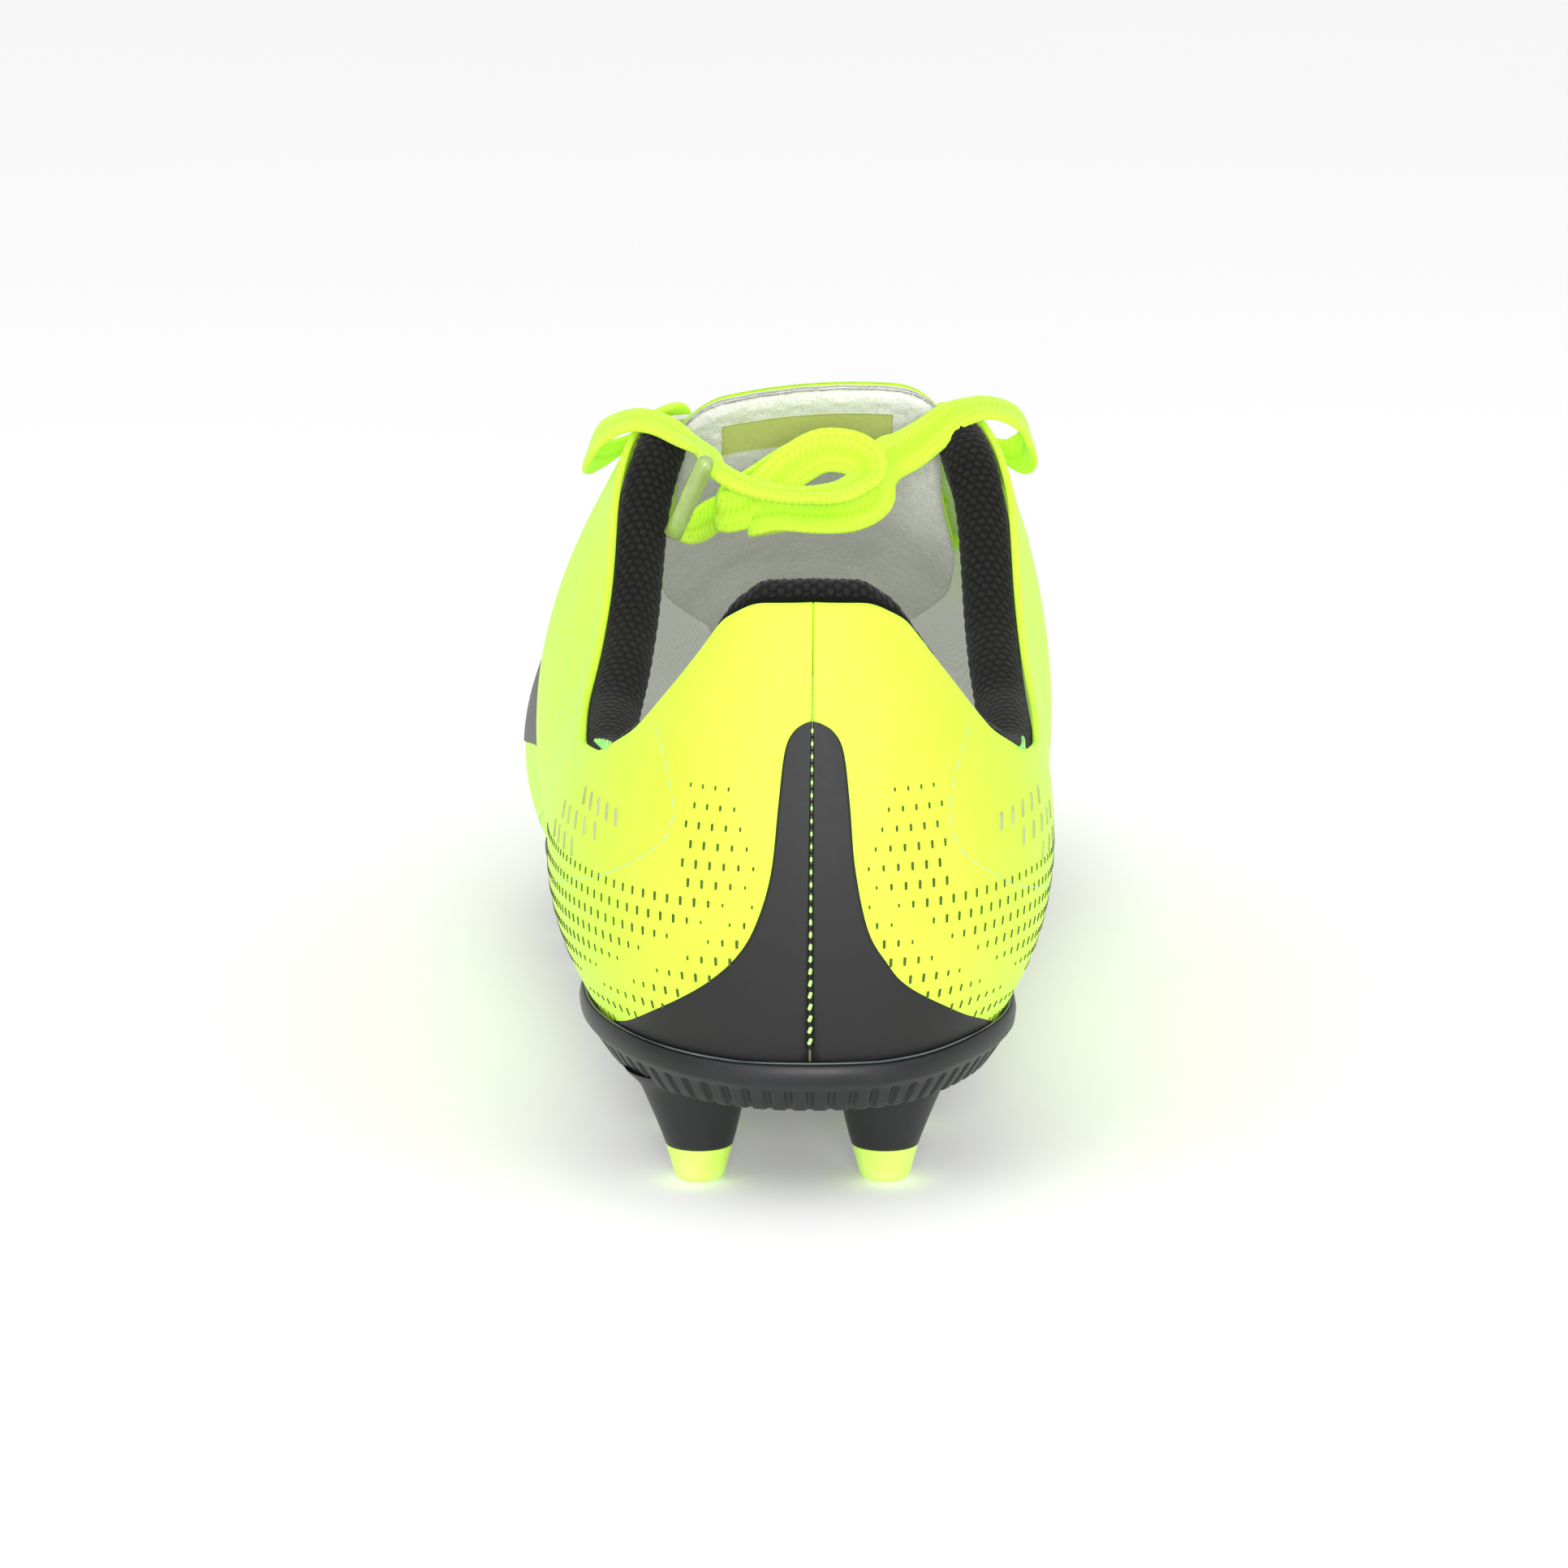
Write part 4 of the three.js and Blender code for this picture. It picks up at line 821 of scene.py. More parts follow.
def cut_holes(piece, side):
    """Drills the eyelets."""
    drill_profile = [(-1, 0.05), (-1, EYELET_RADIUS), (12, EYELET_RADIUS), (12, 0.05)]
    rings = []
    for k in range(EYELETS):
        start, finish = eyelet(side, k, -4), eyelet(side, k, 6)
        rings.append(lathe_rings(drill_profile, start, finish - start, 24))
    drill = many("eyelet_drill", rings, "skin")
    cut = piece.modifiers.new("eyelets", "BOOLEAN")
    cut.object = drill
    cut.solver = "EXACT"
    graph = bpy.context.evaluated_depsgraph_get()
    cut_mesh = bpy.data.meshes.new_from_object(piece.evaluated_get(graph))
    piece.modifiers.remove(cut)
    piece.data = cut_mesh
    bpy.data.objects.remove(drill)


EYELET_RADIUS = 2.6


def eyelet_station(k):
    return mix(7.4, 9.55, k / (EYELETS - 1))


def eyelet(side, k, depth):
    sigma = side * eyelet_station(k)
    return skin(sigma, below_edge(sigma, EYELET_INSET)[0], depth)


def add_vamp():
    """The forefoot's skin, which starts tucked under the quarters."""
    share = np.concatenate([np.linspace(0, 0.95, 190), np.linspace(0.953, 1, 30)])
    u = np.linspace(-1, 1, 161)
    across, share = np.meshgrid(u, share)
    w = np.clip(1 - np.abs(across), 0.004, 1)
    along = mix(mix(9.7, THROAT_END + THROAT_ROUND + 0.02, smooth(w, 0.84, 0.97)), TOE, share)
    sigma = np.where(across < 0, -along, along)
    under = 1.3 * (1 - smooth(along, QUARTER_FRONT - 0.02, QUARTER_FRONT + 0.1))
    vamp = sheet("vamp_skin", skin(sigma, w, under), skin(sigma, w, under + 1.0), "skin")
    bend(vamp, "upper_skin", "vamp_flex", "vamp_toe")


# ---- Small repeated things on the skin ----
def capsule(centre, direction, up, length, width, height, sides=8):
    """Rings of a small bar with round ends, lying on a surface."""
    side = np.cross(direction, up)
    rings = []
    for angle in np.linspace(-math.pi / 2, math.pi / 2, 7):
        along = math.sin(angle) * width / 2 + math.copysign((length - width) / 2, angle if angle else 1e-9)
        radius = max(0.03, math.cos(angle))
        turn = np.linspace(0, 2 * math.pi, sides, endpoint=False)
        ring = (np.cos(turn)[:, None] * side * width / 2 + np.sin(turn)[:, None] * up * height / 2) * radius
        rings.append(centre + (direction * along + ring) * MM)
    return np.array(rings)


STITCH_GAP = 0.8


def between(distance, run, values):
    """Values at a distance along a line whose points lie at the distances `run`."""
    return np.array([np.interp(distance, run, values[:, k]) for k in range(values.shape[1])])


def stitches(name, line, length, width, height):
    """Stitches along a line of (sigma, w) places."""
    fine = curve(line, 400)
    points, normals = skin(*fine.T), skin_normal(*fine.T)
    run = lengths(points)
    bodies = []
    for start in np.arange(STITCH_GAP / 2, run[-1] - length, length + STITCH_GAP):
        near, far = between(start, run, points), between(start + length, run, points)
        up = unit(between(start + length / 2, run, normals))
        bodies.append(capsule((near + far) / 2, unit(far - near), up, length, width, height))
    return many(name, bodies, "thread")


FILM_EDGES = {  # (w, station) from the plate up
    -1: [(0.0, 3.1), (0.03, 2.39), (0.083, 1.69), (0.14, 1.11), (0.191, 0.78), (0.249, 0.59), (0.335, 0.46),
         (0.448, 0.42), (0.535, 0.385), (0.568, 0.3), (0.582, 0.16), (0.586, 0.02)],
    1: [(0.0, 2.95), (0.03, 2.45), (0.071, 1.79), (0.132, 1.07), (0.183, 0.79), (0.24, 0.61), (0.343, 0.5),
        (0.45, 0.47), (0.535, 0.43), (0.568, 0.33), (0.582, 0.17), (0.586, 0.02)],
}
FILM_RISE = 0.28
FILM_TOP = 0.58


def add_heel_film():
    for side, name in SIDES:
        edge = curve(FILM_EDGES[side], 150)
        across = np.linspace(0, 1, 40)[None, :] ** 0.8
        w = np.broadcast_to(edge[:, :1], (len(edge), 40))
        sigma = side * mix(SEAM, np.maximum(edge[:, 1:], SEAM + 0.004), across)
        rim = np.maximum(smooth(across, 0.93, 1.0), 1 - smooth(np.abs(sigma), SEAM, SEAM + 0.03)) ** 2
        face = skin(sigma, w, -FILM_RISE * (1 - rim) + 0.02)
        back = skin(sigma, w, 0.1)
        rings = np.concatenate([face, back[:, ::-1]], 1)
        ride(swept(f"heel_film_{name}_print", rings, "film"), "rear_foot", "heel_film", f"heel_film_{name}")


def add_heel_seam():
    """Stitches and needle holes down the middle of the film; the holes are near-black marks of painted shade.
    """
    w = np.linspace(0.578, 0.022, 400)
    points, normals = skin(0.0, w, -FILM_RISE), skin_normal(np.zeros(400), w)
    run = lengths(points)
    threads, holes = [], []
    pitch = 1.8
    for n, start in enumerate(np.arange(0.6, run[-1] - 1, pitch)):
        at, after = between(start, run, points), between(start + pitch / 2, run, points)
        up = unit(between(start, run, normals))
        down = unit(after - at)
        size = mix(0.7, 1.2, smooth(n, 6, 26))
        lean = unit(down + 0.35 * np.cross(down, up) * smooth(n, 14, 24))
        threads.append(capsule(at, lean, up, 0.95 * size, 0.5 * size, 0.34))
        # Each needle hole is a near-black capsule: painted shade of the hole.
        holes.append(capsule(after, down, up, 0.62 * size, 0.6 * size, 0.12))
    ride(many("heel_seam_stitches", threads, "thread"), "rear_foot", "thread", "heel_seam_thread")
    ride(many("heel_seam_holes", holes, "hole"), "rear_foot", "heel_film")


# Middle of the plain band between the two fields of dots, as (station, w).
DOT_GAP = np.array([
    (0, 0.4), (0.72, 0.284), (1.05, 0.24), (1.48, 0.192), (2.12, 0.134), (3.2, 0.066), (4.4, 0.03),
])
# Edge of the side panel, below and behind which the dots lie, as (station, w).
PANEL = {
    -1: [(-2.03, 0.556), (-1.75, 0.496), (-1.57, 0.434), (-1.56, 0.394), (-1.7, 0.36), (-2.02, 0.32),
         (-2.67, 0.268), (-3.97, 0.206), (-5.6, 0.18), (-7.2, 0.16), (-8.6, 0.11), (-9.6, 0.05)],
    1: [(2.03, 0.556), (1.77, 0.51), (1.57, 0.448), (1.53, 0.394), (1.67, 0.348), (2.02, 0.306),
        (2.67, 0.252), (3.97, 0.2), (5.6, 0.18), (7.2, 0.16), (8.6, 0.11), (9.6, 0.05)],
}


def dot_size(s, w, side):
    """Share of a dot's full size: two fields that fade out where they meet, upwards and along the foot."""
    away = (w - np.interp(s, DOT_GAP[:, 0], DOT_GAP[:, 1])) * 80
    panel = curve(PANEL[side], 200)
    low = panel[80:]
    ceiling = np.where(s < abs(low[0, 0]), 0.5, np.interp(s, np.abs(low[:, 0]), low[:, 1]) - 0.012)
    upper = smooth(away, 0.2, 4.5) * mix(1, 0.4, smooth(away, 8, 24)) * (1 - 0.5 * smooth(w, 0.42, 0.5))
    upper = upper * smooth(s, 0.2 + 0.5 * smooth(w, 0.2, 0.45), 1.3) ** 0.5
    lower = smooth(-away, 0.4, 6)
    size = np.where(away > 0, upper * (w < ceiling), lower)
    return size * (1 - smooth(s, 4.6, 6.4))


DOT_ROWS, DOT_ROW_STEP, DOT_PITCH = 17, 0.0325, 2.1


def add_dots():
    for side, name in SIDES:
        reach = np.linspace(0.25, 6.4, 1200)
        run = lengths(on_last(side * reach, np.full(1200, 0.3)) * MM)
        bodies = []
        for row in range(DOT_ROWS):
            w0 = 0.016 + row * DOT_ROW_STEP
            shift = 0.5 * (row % 2)
            for along in np.arange(0.5 + shift, run[-1] / DOT_PITCH) * DOT_PITCH:
                s = float(np.interp(along, run, reach))
                w = w0 + 0.004 * smooth(s, 1, 3)
                size = float(dot_size(s, w, side))
                film = np.interp(w, *np.array(FILM_EDGES[side]).T) if w < FILM_TOP else 0
                on_panel = w > 0.3 and s > 1.45
                if size < 0.12 or s < film - 0.05 or on_panel:
                    continue
                at, ahead = skin(side * s, w, -0.05), skin(side * s, w + 0.01, -0.05)
                up = skin_normal(side * s, w)
                long, wide = mix(0.4, 1.35, size), mix(0.26, 0.46, size)
                bodies.append(capsule(at, unit(ahead - at), up, long, wide, 0.16, 6))
        ride(many(f"dots_{name}", bodies, "print"), "rear_foot", "upper_skin")


def add_vents():
    """Slanted slots on the side panels."""
    rows = {
        -1: [((2.31, 0.389), (2.99, 0.392), 5), ((2.62, 0.352), (3.5, 0.345), 5),
             ((3.05, 0.305), (3.75, 0.3), 4)],
        1: [((2.25, 0.385), (3.05, 0.39), 5), ((2.6, 0.345), (3.45, 0.345), 5), ((3.0, 0.3), (3.7, 0.3), 4)],
    }
    for side, name in SIDES:
        bodies = []
        for (s0, w0), (s1, w1), count in rows[side]:
            for k in range(count):
                share = k / (count - 1)
                s, w = mix(s0, s1, share), mix(w0, w1, share) + 0.006 * share
                at, tip = skin(side * s, w, -0.06), skin(side * (s + 0.03), w + 0.02, -0.06)
                bodies.append(capsule(at, unit(tip - at), skin_normal(side * s, w), 2.8, 0.9, 0.2, 8))
        ride(many(f"vents_{name}", bodies, "vent"), "rear_foot", "upper_skin")


def add_stitching():
    for side, name in SIDES:
        below = lambda stations, drop: [(side * q, float(top_edge(side * q)) - drop(q)) for q in stations]
        lines = {
            f"panel_stitches_{name}": (PANEL[side], 1.9, 0.36, 0.22),
            f"collar_stitches_{name}": (below(np.linspace(3.3, 6.2, 12), lambda q: 0.03), 1.7, 0.3, 0.2),
        }
        for k, drop in enumerate((0.21, 0.225)):
            line = below(np.linspace(5.2, 6.6, 6), lambda q: drop - 0.02 * (q - 6))
            lines[f"side_stitches_{name}_{k}"] = (line, 1.7, 0.3, 0.2)
        throat = [(side * q, float(below_edge(side * q, 2.4)[0])) for q in np.linspace(6.9, 9.75, 14)]
        lines[f"throat_stitches_{name}"] = (throat, 1.9, 0.34, 0.22)
        for piece_name, (line, *sizes) in lines.items():
            ride(stitches(piece_name, line, *sizes), "rear_foot", "thread")
        front = side * (QUARTER_FRONT - 0.09)
        line = [(front, b * float(top_edge(front))) for b in np.linspace(0.03, 0.9, 14)]
        bend(stitches(f"front_stitches_{name}", line, 1.9, 0.34, 0.22), "thread")


# ---- Sole unit ----
PLATE_HEEL, PLATE_FRONT, PLATE_TAPER = 7.6, 4.8, 5.0


def plate_thickness(s):
    return mix(PLATE_HEEL, PLATE_FRONT, smooth(s, 5, 9))


def station_along(y):
    s = np.linspace(0, TOE, 600)
    return np.interp(y, column(ALONG, s), s)


def plate_ring(s, inset, drop, relief=0.0):
    """A closed ring round the plate: inset from the outline, and dropped by a share of its thickness."""
    sides = []
    for side in (-1.0, 1.0):
        p = outline(np.full(len(s), side), s) - outward(np.full(len(s), side), s) * (inset + relief)[:, None]
        near = station_along(p[:, 1])
        z = SEAT + column(RISE, near) - drop * plate_thickness(near)
        sides.append(np.column_stack([p, z]))
    return ORIGIN + np.concatenate([sides[0], sides[1][::-1]]) * MM


def add_plate():
    s = np.concatenate([np.linspace(0, 4.4, 260)[:-1], np.linspace(4.4, TOE - 0.6, 240)[:-1],
                        np.linspace(TOE - 0.6, TOE, 40)])
    side = np.full(len(s), -1.0)
    run = lengths(np.column_stack([outline(side, s), np.zeros(len(s))]) * MM)
    profile = curve([(1.4, 0.03), (0.1, -0.1), (-0.5, -0.13), (-0.85, 0.02), (-0.8, 0.2), (-0.1, 0.33),
                     (0.5, 0.42), (1.5, 0.62), (2.7, 0.84), (3.7, 0.97), (PLATE_TAPER + 0.2, 1.0)], 34)
    rings = []
    for inset, drop in profile:
        inset = inset - 1.2 * (1 - smooth(drop, 0.9, 1.0))
        band = smooth(drop, 0.36, 0.44) * (1 - smooth(drop, 1.02, 1.1))
        groove = np.clip(np.cos(2 * math.pi * run / 3.05) * 1.6 - 0.35, 0, 1)
        fade = mix(1.0, 0.45, smooth(s, 3.0, 6.0))
        rings.append(plate_ring(s, np.full(len(s), inset), drop, band * groove * fade * 0.62))
    flat = lambda inset: np.full(len(s), inset)
    top = plate_ring(s, flat(2.2), 0.05)
    under, hollow = plate_ring(s, flat(6.5), 1.0), plate_ring(s, flat(9.0), 0.86)
    plate = swept("outsole_plate", np.array([top, *rings, under, hollow]), "plate")
    bend(plate, "plate", "outsole_rear", "outsole_flex", "outsole_forefoot")
    add_glue_line(plate_ring(s, flat(-1.2), -0.145))
    add_sole_ribs()


def add_glue_line(line):
    closed = np.concatenate([line[-3:-1], line, line[1:3]])
    tangent = unit(np.gradient(closed, axis=0) + 1e-12)[2:-2]
    across = unit(np.cross(tangent, UP))
    angle = np.linspace(0, 2 * math.pi, 8, endpoint=False)
    rings = (line[:, None] + (np.cos(angle)[None, :, None] * across[:, None]
                              + np.sin(angle)[None, :, None] * UP) * 0.17 * MM)
    bend(swept("glue_line", rings, "glue"), "plate")


def add_sole_ribs():
    """Stiffening ribs under the waist."""
    for k, x in enumerate((-9, 1, 10)):
        y = np.linspace(70, 140, 60)
        s = station_along(y)
        z = SEAT + column(RISE, s) - plate_thickness(s)
        height = 1.5 * np.sin(np.linspace(0, math.pi, 60)) ** 0.5 + 0.02
        angle = np.linspace(0, math.pi * 2, 14, endpoint=False)
        rings = np.stack([place(0, 0, 0) + np.column_stack([
            x + 2.1 * np.cos(angle), np.full(14, y[i]), z[i] - height[i] * np.sin(angle).clip(-0.3, 1)]) * MM
            for i in range(60)])
        ride(swept(f"sole_rib_{k}", rings, "plate"), "rear_foot", "plate")


STUD_NECK, TIP_HEIGHT = 4.9, 5.3
REAR_GROUPS = ("heel_rear", "heel_front", "waist", "ball")
FRONT_GROUPS = ("forefoot", "toe")


def add_studs():
    for groups, body in ((REAR_GROUPS, "rear_foot"), (FRONT_GROUPS, "forefoot")):
        for group in groups:
            for side, name in SIDES:
                node = f"stud_tip_{group}_{name}"
                centre = np.array(middle(node))
                x, y = (centre - ORIGIN)[:2] / MM
                s = float(station_along(y))
                root = SEAT + float(column(RISE, np.array(s))) - float(plate_thickness(s))
                add_stud(node, x, y, root, side, body)


def add_stud(node, x, y, root, side, body):
    t = np.linspace(0, 1, 26)
    z = mix(TIP_HEIGHT + 0.05, root + 1.6, t)
    shift = side * 1.1 * t ** 1.4
    flare = 1.0 if "heel" in node else 0.4
    radius = STUD_NECK + 3.7 * t * flare ** 0.35 + 1.2 * flare * smooth(t, 0.7, 1.0) ** 2
    angle = np.linspace(0, 2 * math.pi, 48, endpoint=False)
    wall = np.cos(angle) * radius[:, None]
    trunk = np.stack([x + shift[:, None] + wall, y + np.sin(angle) * radius[:, None] * 1.04,
                      np.broadcast_to(z[:, None], wall.shape)], -1)
    first = trunk[:1].copy()
    first[..., :2] = np.array([x, y]) + (first[..., :2] - np.array([x, y])) * 0.9
    first[..., 2] -= 0.02
    rings = ORIGIN + np.concatenate([first, trunk]) * MM
    ride(swept(node.replace("stud_tip", "stud"), rings, "plate"), body, "plate")
    profile = [(0, 0.05), (0, 2.2), (0.12, 2.9), (0.45, 3.4), (1.0, 3.74), (1.7, 3.93), (3.2, 4.32),
               (4.6, 4.72), (5.05, 4.86), (TIP_HEIGHT - 0.06, 4.82), (TIP_HEIGHT, 4.6), (TIP_HEIGHT, 0.05)]
    tip = swept(node + "_cap", lathe_rings(profile, place(x, y, 0), (0, 0, 1), 48), "tip")
    ride(tip, body, "stud_tip", node)


# ---- Inside ----
SKIN_DEPTH, LAYER_GAP, LINING, COUNTER, PUFF = 1.5, 0.6, 1.0, 1.6, 1.0
PAD = 7.5
PAD_SPLIT, PAD_END = 2.9, 6.55
PAD_DEPTH = 10 / 90


def lining_depth(s):
    behind_counter = (COUNTER + LAYER_GAP) * (1 - smooth(s, 3.8, 4.8))
    behind_puff = (PUFF + LAYER_GAP) * smooth(s, 12.4, 13.1)
    return SKIN_DEPTH + LAYER_GAP + behind_counter + behind_puff


def add_lining():
    sigma = np.linspace(-FLEX_START, FLEX_START, 420)
    s = np.abs(sigma)
    padded_top = top_edge(sigma) - PAD_DEPTH - 0.012
    open_top = below_edge(sigma, 17.5)
    top = mix(padded_top, open_top, smooth(s, 6.7, 7.2))
    behind = lambda c, w, b: lining_depth(np.abs(c))
    inside = lambda c, w, b: behind(c, w, b) + LINING
    piece = layer("lining_quarters", sigma, np.full(len(s), 0.03), top, inside, behind, 44, "lining")
    ride(piece, "rear_foot", "lining", "lining_lateral", "lining_medial")
    along = np.linspace(FLEX_START + 0.02, TOE, 150)
    u = np.linspace(-0.97, 0.97, 91)
    across, stations = np.meshgrid(u, along)
    signed = np.where(across < 0, -stations, stations)
    w = 1 - np.abs(across)
    depth = lining_depth(stations)
    lining = sheet("lining_vamp", skin(signed, w, depth + LINING), skin(signed, w, depth), "lining")
    bend(lining, "lining", "lining_flex", "lining_toe")


def insole_layer(name, node, low, thick, extra, look, slot, cup):
    s = np.linspace(0.02, TOE - 0.02, 220)
    inset = lining_depth(s) + LINING + 0.5 + extra
    edges = [outline(np.full(len(s), side), s) - outward(np.full(len(s), side), s) * inset[:, None]
             for side in (-1.0, 1.0)]
    share = np.linspace(0, 1, 60)
    plan = edges[0][:, None] * (1 - share)[None, :, None] + edges[1][:, None] * share[None, :, None]
    z = SEAT + column(RISE, station_along(plan[..., 1])) + low
    rise = cup * np.abs(2 * share - 1)[None, :] ** 5 * (1 - 0.6 * smooth(s, 5, 11))[:, None]
    top = np.concatenate([plan, (z + thick + rise)[..., None]], -1)
    bottom = np.concatenate([plan, (z + rise)[..., None]], -1)
    rings = ORIGIN + np.concatenate([top, bottom[:, ::-1]], 1) * MM
    flat = np.concatenate([plan, plan[:, ::-1]], 1)
    cloth = np.concatenate([flat[..., 1:], flat[..., :1], np.ones((*flat.shape[:2], 1))], -1)
    return bend(swept(name, rings, look, cloth), slot, node)


def add_insole():
    insole_layer("insole_board_sheet", "insole_board", 0.05, 1.2, 0.0, "board", "board", 0.0)
    foam = insole_layer("insole_foam_bed", "insole_foam", 1.4, 3.7, 0.2, "foam", "foam", 1.6)
    insole_layer("insole_top_cloth", "insole_cloth", 5.12, 0.7, 0.15, "insole", "lining", 1.7)


def knit(u, v, pitch=1.25):
    """Relief of a knitted mesh from 0 in its holes to 1, in staggered rows."""
    k = 2 * math.pi / pitch
    waves = np.cos(k * u) + np.cos(k * (u / 2 + 0.866 * v)) + np.cos(k * (-u / 2 + 0.866 * v))
    return np.clip((waves + 1.5) / 3.2, 0, 1)


def add_pad(name, node, start, end, thickness, columns, rise, full_turn):
    """A collar pad: its inner face, a roll over the top line, and its back on the skin."""
    share = np.linspace(0, 1, columns)
    sigma = mix(start, end, share)
    s = np.abs(sigma)
    run = lengths(on_last(sigma, top_edge(sigma)) * MM)
    from_end = np.minimum(run, run[-1] - run)
    closing = np.sqrt(np.clip(1 - (1 - from_end / 4.5).clip(0, 1) ** 2, 0.02, 1))
    top, low = top_edge(sigma) + rise(s), top_edge(sigma) - PAD_DEPTH
    rows, turn_rows, back_rows = 64, 30, 12
    b = np.linspace(0, 1, rows)[None, :]
    w = mix(low[:, None], top[:, None], b)
    base = mix(lining_depth(s)[:, None], SKIN_DEPTH + 0.1, smooth(b, 0.35, 0.6))
    thick = mix(LINING, thickness(s)[:, None], smooth(b, 0, 0.62)) * closing[:, None]
    inner = skin(sigma[:, None], w, base + thick)
    away = unit(skin(sigma, top, 2.0) - skin(sigma, top - 0.01, 2.0))
    theta = np.linspace(0, math.pi, turn_rows + 2)[1:-1]
    last_thick, last_base = thick[:, -1:], base[:, -1:]
    depth = last_base + last_thick * (0.5 + 0.5 * np.cos(theta)[None, :])
    roll = skin(sigma[:, None], top[:, None], depth)
    roll = roll + away[:, None] * (last_thick * 0.5 * np.sin(theta)[None, :] * full_turn * MM)[..., None]
    visible = np.concatenate([inner, roll], 1)
    u = np.broadcast_to(run[:, None], visible.shape[:2])
    v = lengths(visible, 1)
    ribbed = (1 - smooth(v, v[:, -1:] - 13, v[:, -1:] - 10)) * (full_turn < 1)
    ribs = 0.5 + 0.4 * np.cos(2 * math.pi * v / 1.15) + 0.1 * np.cos(2 * math.pi * u / 0.6)
    relief = mix(knit(u, v), ribs, ribbed)
    n = np.cross(np.gradient(visible, axis=0), np.gradient(visible, axis=1))
    n = unit(n + 1e-15)
    inwards = unit(inner - skin(sigma[:, None], w, base + thick - 0.5))
    n *= np.sign(np.sum(n[:, 20] * inwards[:, 20], -1).mean())
    visible = visible + n * (relief * 0.16 * closing[:, None] * MM)[..., None]
    back_b = np.linspace(1, 0, back_rows)[None, :]
    back_depth = np.interp(back_b[0], b[0], base.mean(0))[None, :]
    back = skin(sigma[:, None], mix(low[:, None], top[:, None], back_b), back_depth)
    rings = np.concatenate([visible, back], 1)
    extra = np.zeros((columns, back_rows))
    cloth = np.stack([np.concatenate([c, extra], 1) for c in (u, v, relief)], -1)
    piece = swept(name, rings, "mesh", cloth)
    return ride(piece, "rear_foot", "collar_mesh", node)


def add_collar():
    rear = lambda s: mix(5.0, 3.4, smooth(s, 0.8, 2.3))
    over = lambda s: mix(0.01, 0.018, smooth(s, 0.8, 2.0))
    add_pad("collar_pad_rear_knit", "collar_pad_rear", -PAD_SPLIT, PAD_SPLIT, rear, 300, over, 1.0)
    full = lambda s: np.full(s.shape, PAD)
    climb = lambda s: mix(-0.012, 0.004, smooth(s, 5.2, 6.3))
    for side, name in SIDES:
        add_pad(f"collar_pad_{name}_knit", f"collar_pad_{name}", side * (PAD_SPLIT + 0.02), side * PAD_END,
                full, 300, climb, 0.82)
        add_bartack(side, name)


def add_bartack(side, name):
    """A few tight turns of thread over the notch between two pads."""
    sigma = side * PAD_SPLIT
    w = float(top_edge(sigma))
    centre = skin(sigma, w - 0.01, 0.6)
    up = unit(skin(sigma, w, 0) - skin(sigma, w - 0.02, 0))
    out = skin_normal(sigma, w)
    along = unit(np.cross(up, out))
    bodies = []
    for k in range(9):
        lean = unit(out * math.cos(0.5 + 0.13 * k) + up * math.sin(0.5 + 0.13 * k) + along * 0.12 * (-1) ** k)
        at = centre + (along * (k - 4) * 0.42 + up * 0.9 + out * 0.4) * MM
        bodies.append(capsule(at, lean, unit(np.cross(lean, along)), 3.0, 0.5, 0.4))
    ride(many(f"bartack_{name}", bodies, "tie"), "rear_foot", "thread")


# ---- Tongue ----
TONGUE_LINE = [
    (2, 171, 63.5), (2.1, 157, 69.5), (2.2, 140, 77.5), (2.4, 118, 87), (2.6, 103.5, 94.8), (2.8, 94.6, 106),
]
TONGUE_COVER, TONGUE_FELT = 0.9, 2.7


def tongue_line(t):
    """A point of the tongue's middle line; t counts its given points from 0 to 1."""
    p = np.asarray(TONGUE_LINE, float)
    p = np.concatenate([2 * p[:1] - p[1:2], p, 2 * p[-1:] - p[-2:-1]])
    place_on = np.asarray(t, float) * (len(TONGUE_LINE) - 1)
    i = np.clip(np.floor(place_on).astype(int), 0, len(TONGUE_LINE) - 2)
    r = (place_on - i)[..., None]
    a, b, c, d = p[i], p[i + 1], p[i + 2], p[i + 3]
    return b + 0.5 * r * (c - a + r * (2 * a - 5 * b + 4 * c - d + r * (3 * (b - c) + d - a)))


def tongue_half(t):
    return mix(mix(16, 23.5, smooth(t, 0, 0.5)), 20.6, smooth(t, 0.6, 0.84))


def tongue_point(t, across, depth):
    """A point of the tongue in the last's millimetres: depth counts from its outer face to the foot."""
    t, across, depth = np.broadcast_arrays(*(np.asarray(v, float) for v in (t, across, depth)))
    centre = tongue_line(t)
    along = unit(tongue_line(t + 0.004) - tongue_line(t - 0.004))
    up = unit(np.cross((1.0, 0, 0), along))
    up = up * np.where(up[..., 2:] < 0, -1, 1)
    half = tongue_half(t)
    sag = mix(0.42, 0.15, smooth(t, 0.6, 1)) * half * across * across
    lean = 1.5 * smooth(t, 0.8, 1.0) * across
    offset = np.stack([across * half, np.zeros_like(half), lean], -1)
    return centre + up * (-sag - depth)[..., None] + offset


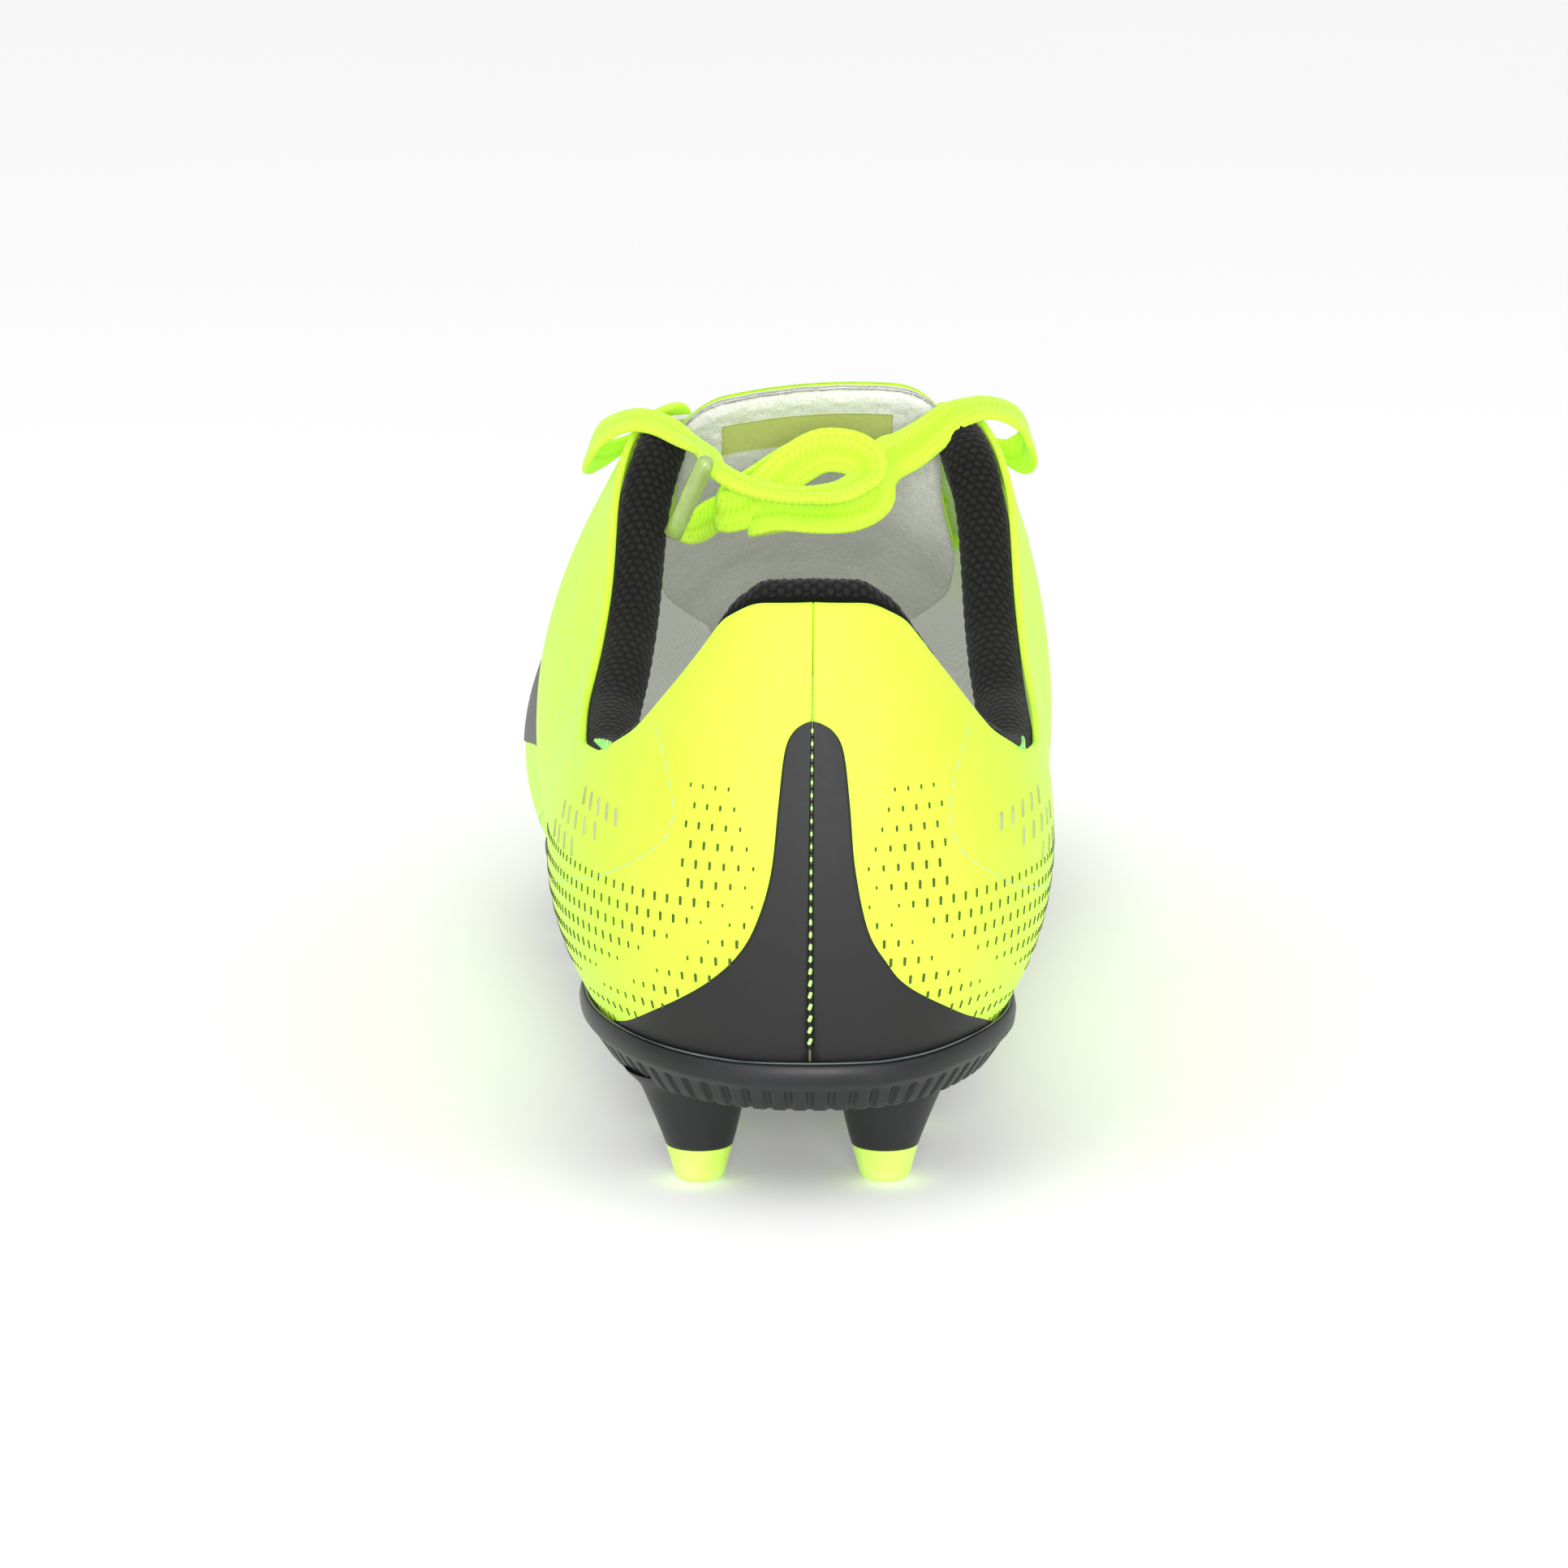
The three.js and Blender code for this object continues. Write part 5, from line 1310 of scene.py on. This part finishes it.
def tongue_layer(name, depths, reach, end, look, nodes, relief=0.0):
    """One layer of the tongue, with a round end and corners."""
    t = np.concatenate([np.linspace(0, 0.8, 90)[:-1], np.linspace(0.8, 1, 70)]) * end
    across = np.linspace(-1, 1, 81)
    corner = 0.075 * (np.clip((np.abs(across) - 0.62) / 0.38, 0, 1) ** 2.2)
    grid_t = t[:, None] - corner[None, :] * smooth(t, 0.75, 1)[:, None]
    grid_a = np.broadcast_to(across * reach, grid_t.shape)
    soft = relief * np.sin(grid_t * 160) * np.sin(grid_a * 21)
    thickness = depths[1] - depths[0]
    rim = (1 - np.sqrt(1 - smooth(np.abs(across), 0.9, 1.0)[None, :] ** 2 * 0.98)) * 0.5 * thickness
    past = np.clip((t - end) / (0.03 * thickness / 3) + 1, 0, 1)
    tip = (1 - np.sqrt(1 - past ** 2 * 0.98))[:, None] * 0.5 * thickness
    pinch = np.maximum(rim, tip)
    face = ORIGIN + tongue_point(grid_t, grid_a, depths[0] + pinch + soft) * MM
    back = ORIGIN + tongue_point(grid_t, grid_a, depths[1] - pinch + soft) * MM
    piece = sheet(name, face, back, look)
    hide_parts(*nodes)
    start, finish = tongue_line(0.81), tongue_line(0.89)
    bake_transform(piece)
    return piece


def add_tongue():
    tongue_layer("tongue_outer", [0.1, TONGUE_COVER], 1, 1.018, "skin",
                 ["tongue_cover", "tongue_flap_cover"])
    felt_back = TONGUE_COVER + TONGUE_FELT + 0.6
    felt = tongue_layer("tongue_inner_felt", [TONGUE_COVER + 0.05, felt_back], 1.0, 1.034, "felt",
                        ["tongue_felt", "tongue_flap_felt"], 0.06)
    t, across = np.meshgrid(np.linspace(0.885, 0.972, 30), np.linspace(-0.66, 0.62, 60), indexing="ij")
    face = ORIGIN + tongue_point(t, across, felt_back + 0.14) * MM
    back = ORIGIN + tongue_point(t, across, felt_back - 0.1) * MM
    ride(sheet("tongue_label_blank", face, back, "label"), "tongue_flap", "label", "tongue_label")


# ---- Laced part ----
UNDER = SKIN_DEPTH + LAYER_GAP + 1.0 + LAYER_GAP + 0.8  # depth of a lace under the eyelet backing
OVER = -LAYER_GAP - 0.3 - 0.8  # and on the skin
RUN_WIDTH = 5.6


def over_tongue(point):
    t = highest(lambda v: tongue_line(v)[:, 1] > point[1], 1)[0]
    return t, (point[0] - tongue_line(t)[0]) / float(tongue_half(t))


def crossing(near, far, lift):
    (t0, a0), (t1, a1) = over_tongue(near), over_tongue(far)
    made = []
    for q in (0.3, 0.42, 0.5, 0.58, 0.7):
        over = lift * 1.9 * (1 - smooth(abs(q - 0.5), 0.1, 0.3))
        climb = 3.4 * (1 - smooth(q, 0.22, 0.5))
        made.append(tongue_point(mix(t0, t1, q), mix(a0, a1, q), -1.1 - max(over, climb)))
    return made


def lace_run(side, lift):
    """The route of one laced run and the facings on it: up an eyelet, over the throat, under the far edge."""
    points, facings = [], []
    put = lambda point, direction: (points.append(np.asarray(point)), facings.append(np.asarray(direction)))
    raw = lambda sd, k, depth: (eyelet(sd, k, depth) - ORIGIN) / MM
    edge = lambda sd, s, depth: (skin(sd * s, float(top_edge(sd * s)), depth) - ORIGIN) / MM
    last = EYELETS - 1
    t, across = over_tongue(raw(side, last, UNDER))
    put(tongue_point(t, 0.02 * side, -1.0), UP)
    put(tongue_point(t, across * 0.5, -1.0), UP)
    for k in range(last, -1, -1):
        here = side if (last - k) % 2 == 0 else -side
        low, high = raw(here, k, UNDER), raw(here, k, OVER)
        n = unit(high - low)
        inwards = unit(points[-1] - low)
        put(low + inwards * 2.0, n)
        put(mix(low, high, 0.5), inwards)
        if k == 0:
            put(high, inwards)
            break
        over_edge = edge(here, mix(eyelet_station(k), eyelet_station(k - 1), 0.17), OVER - 0.6)
        under_edge = edge(-here, mix(eyelet_station(k), eyelet_station(k - 1), 0.83), UNDER + 0.2)
        put(high + unit(over_edge - high) * 1.6, n)
        for p in [over_edge, *crossing(high, raw(-here, k - 1, UNDER), lift), under_edge]:
            put(p, n)
    return points, facings


def add_lace_runs():
    for side, name, lift in ((-1, "lateral", 1), (1, "medial", 0)):
        points, facings = lace_run(side, lift)
        route = [ORIGIN + p * MM for p in points]
        chords = np.concatenate([[0], np.cumsum(np.linalg.norm(np.diff(np.array(route), axis=0), axis=1))])
        share = chords / chords[-1]
        hints = list(zip(share, facings))
        holes = [share[i] for i in range(len(points)) if abs(np.dot(facings[i], UP)) < 0.75]
        widths = [(0, 0.9)]
        for h in holes:
            for step, factor in ((-0.012, 0.85), (0, 0.62), (0.012, 0.85)):
                widths.append((min(1, max(0, h + step)), factor))
        lace, _, _ = flat_lace(f"lace_run_{name}_braid", route, hints, RUN_WIDTH, sorted(widths))
        ride(lace, "rear_foot", "lace", f"lace_run_{name}")


def add_patch():
    """A plain dark patch on the lateral side of the forefoot."""
    b = np.linspace(0, 1, 30)
    sigma = np.linspace(0, 1, 60)
    u, v = np.meshgrid(sigma, b, indexing="ij")
    corner = 0.06
    squeeze = np.sqrt(np.clip(1 - (np.clip(np.abs(v - 0.5) - (0.5 - corner), 0, 1) / corner) ** 2, 0, 1))
    station = 7.9 + 0.5 * (v - 0.5) + mix(corner * (1 - squeeze), 1.7 - corner * (1 - squeeze), u)
    w = mix(0.24, 0.5, v)
    face, back = skin(-station, w, -0.3), skin(-station, w, 0.05)
    rings = np.concatenate([face, back[:, ::-1]], 1)
    ride(swept("side_patch_plain", rings, "patch"), "rear_foot", "heel_film", "side_patch")


def finish_cad_nodes():
    """The stiffeners and backings that show only in gaps keep their CAD shape and get better materials."""
    for node, look in (("toe_puff", "counter"), ("heel_counter", "counter"), ("eyestay_lateral", "felt"),
                       ("eyestay_medial", "felt")):
        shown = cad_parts[node]
        shown.data.materials.clear()
        shown.data.materials.append(LOOKS[look].material)


def add_floor():
    size = 40.0
    mesh = bpy.data.meshes.new("floor")
    corners = [(-size, -size, 0), (size, -size, 0), (size, size, 0), (-size, size, 0)]
    mesh.from_pydata(corners, [], [(0, 1, 2, 3)])
    floor = bpy.data.objects.new("floor", mesh)
    look = Look("floor", srgb(246, 246, 246), 0.8, Specular_IOR_Level=0.1, Emission_Color=(1, 1, 1),
                Emission_Strength=0.16)
    look.tint(look.noise(0.5), srgb(245, 245, 245), srgb(248, 248, 248))
    mesh.materials.append(look.material)
    bpy.context.scene.collection.objects.link(floor)


add_camera()
add_studio()
add_lace_ends()
add_floor()
add_quarters()
add_vamp()
add_heel_film()
add_heel_seam()
add_dots()
add_vents()
add_stitching()
add_plate()
add_studs()
add_lining()
add_insole()
add_collar()
add_tongue()
add_lace_runs()
add_patch()
finish_cad_nodes()
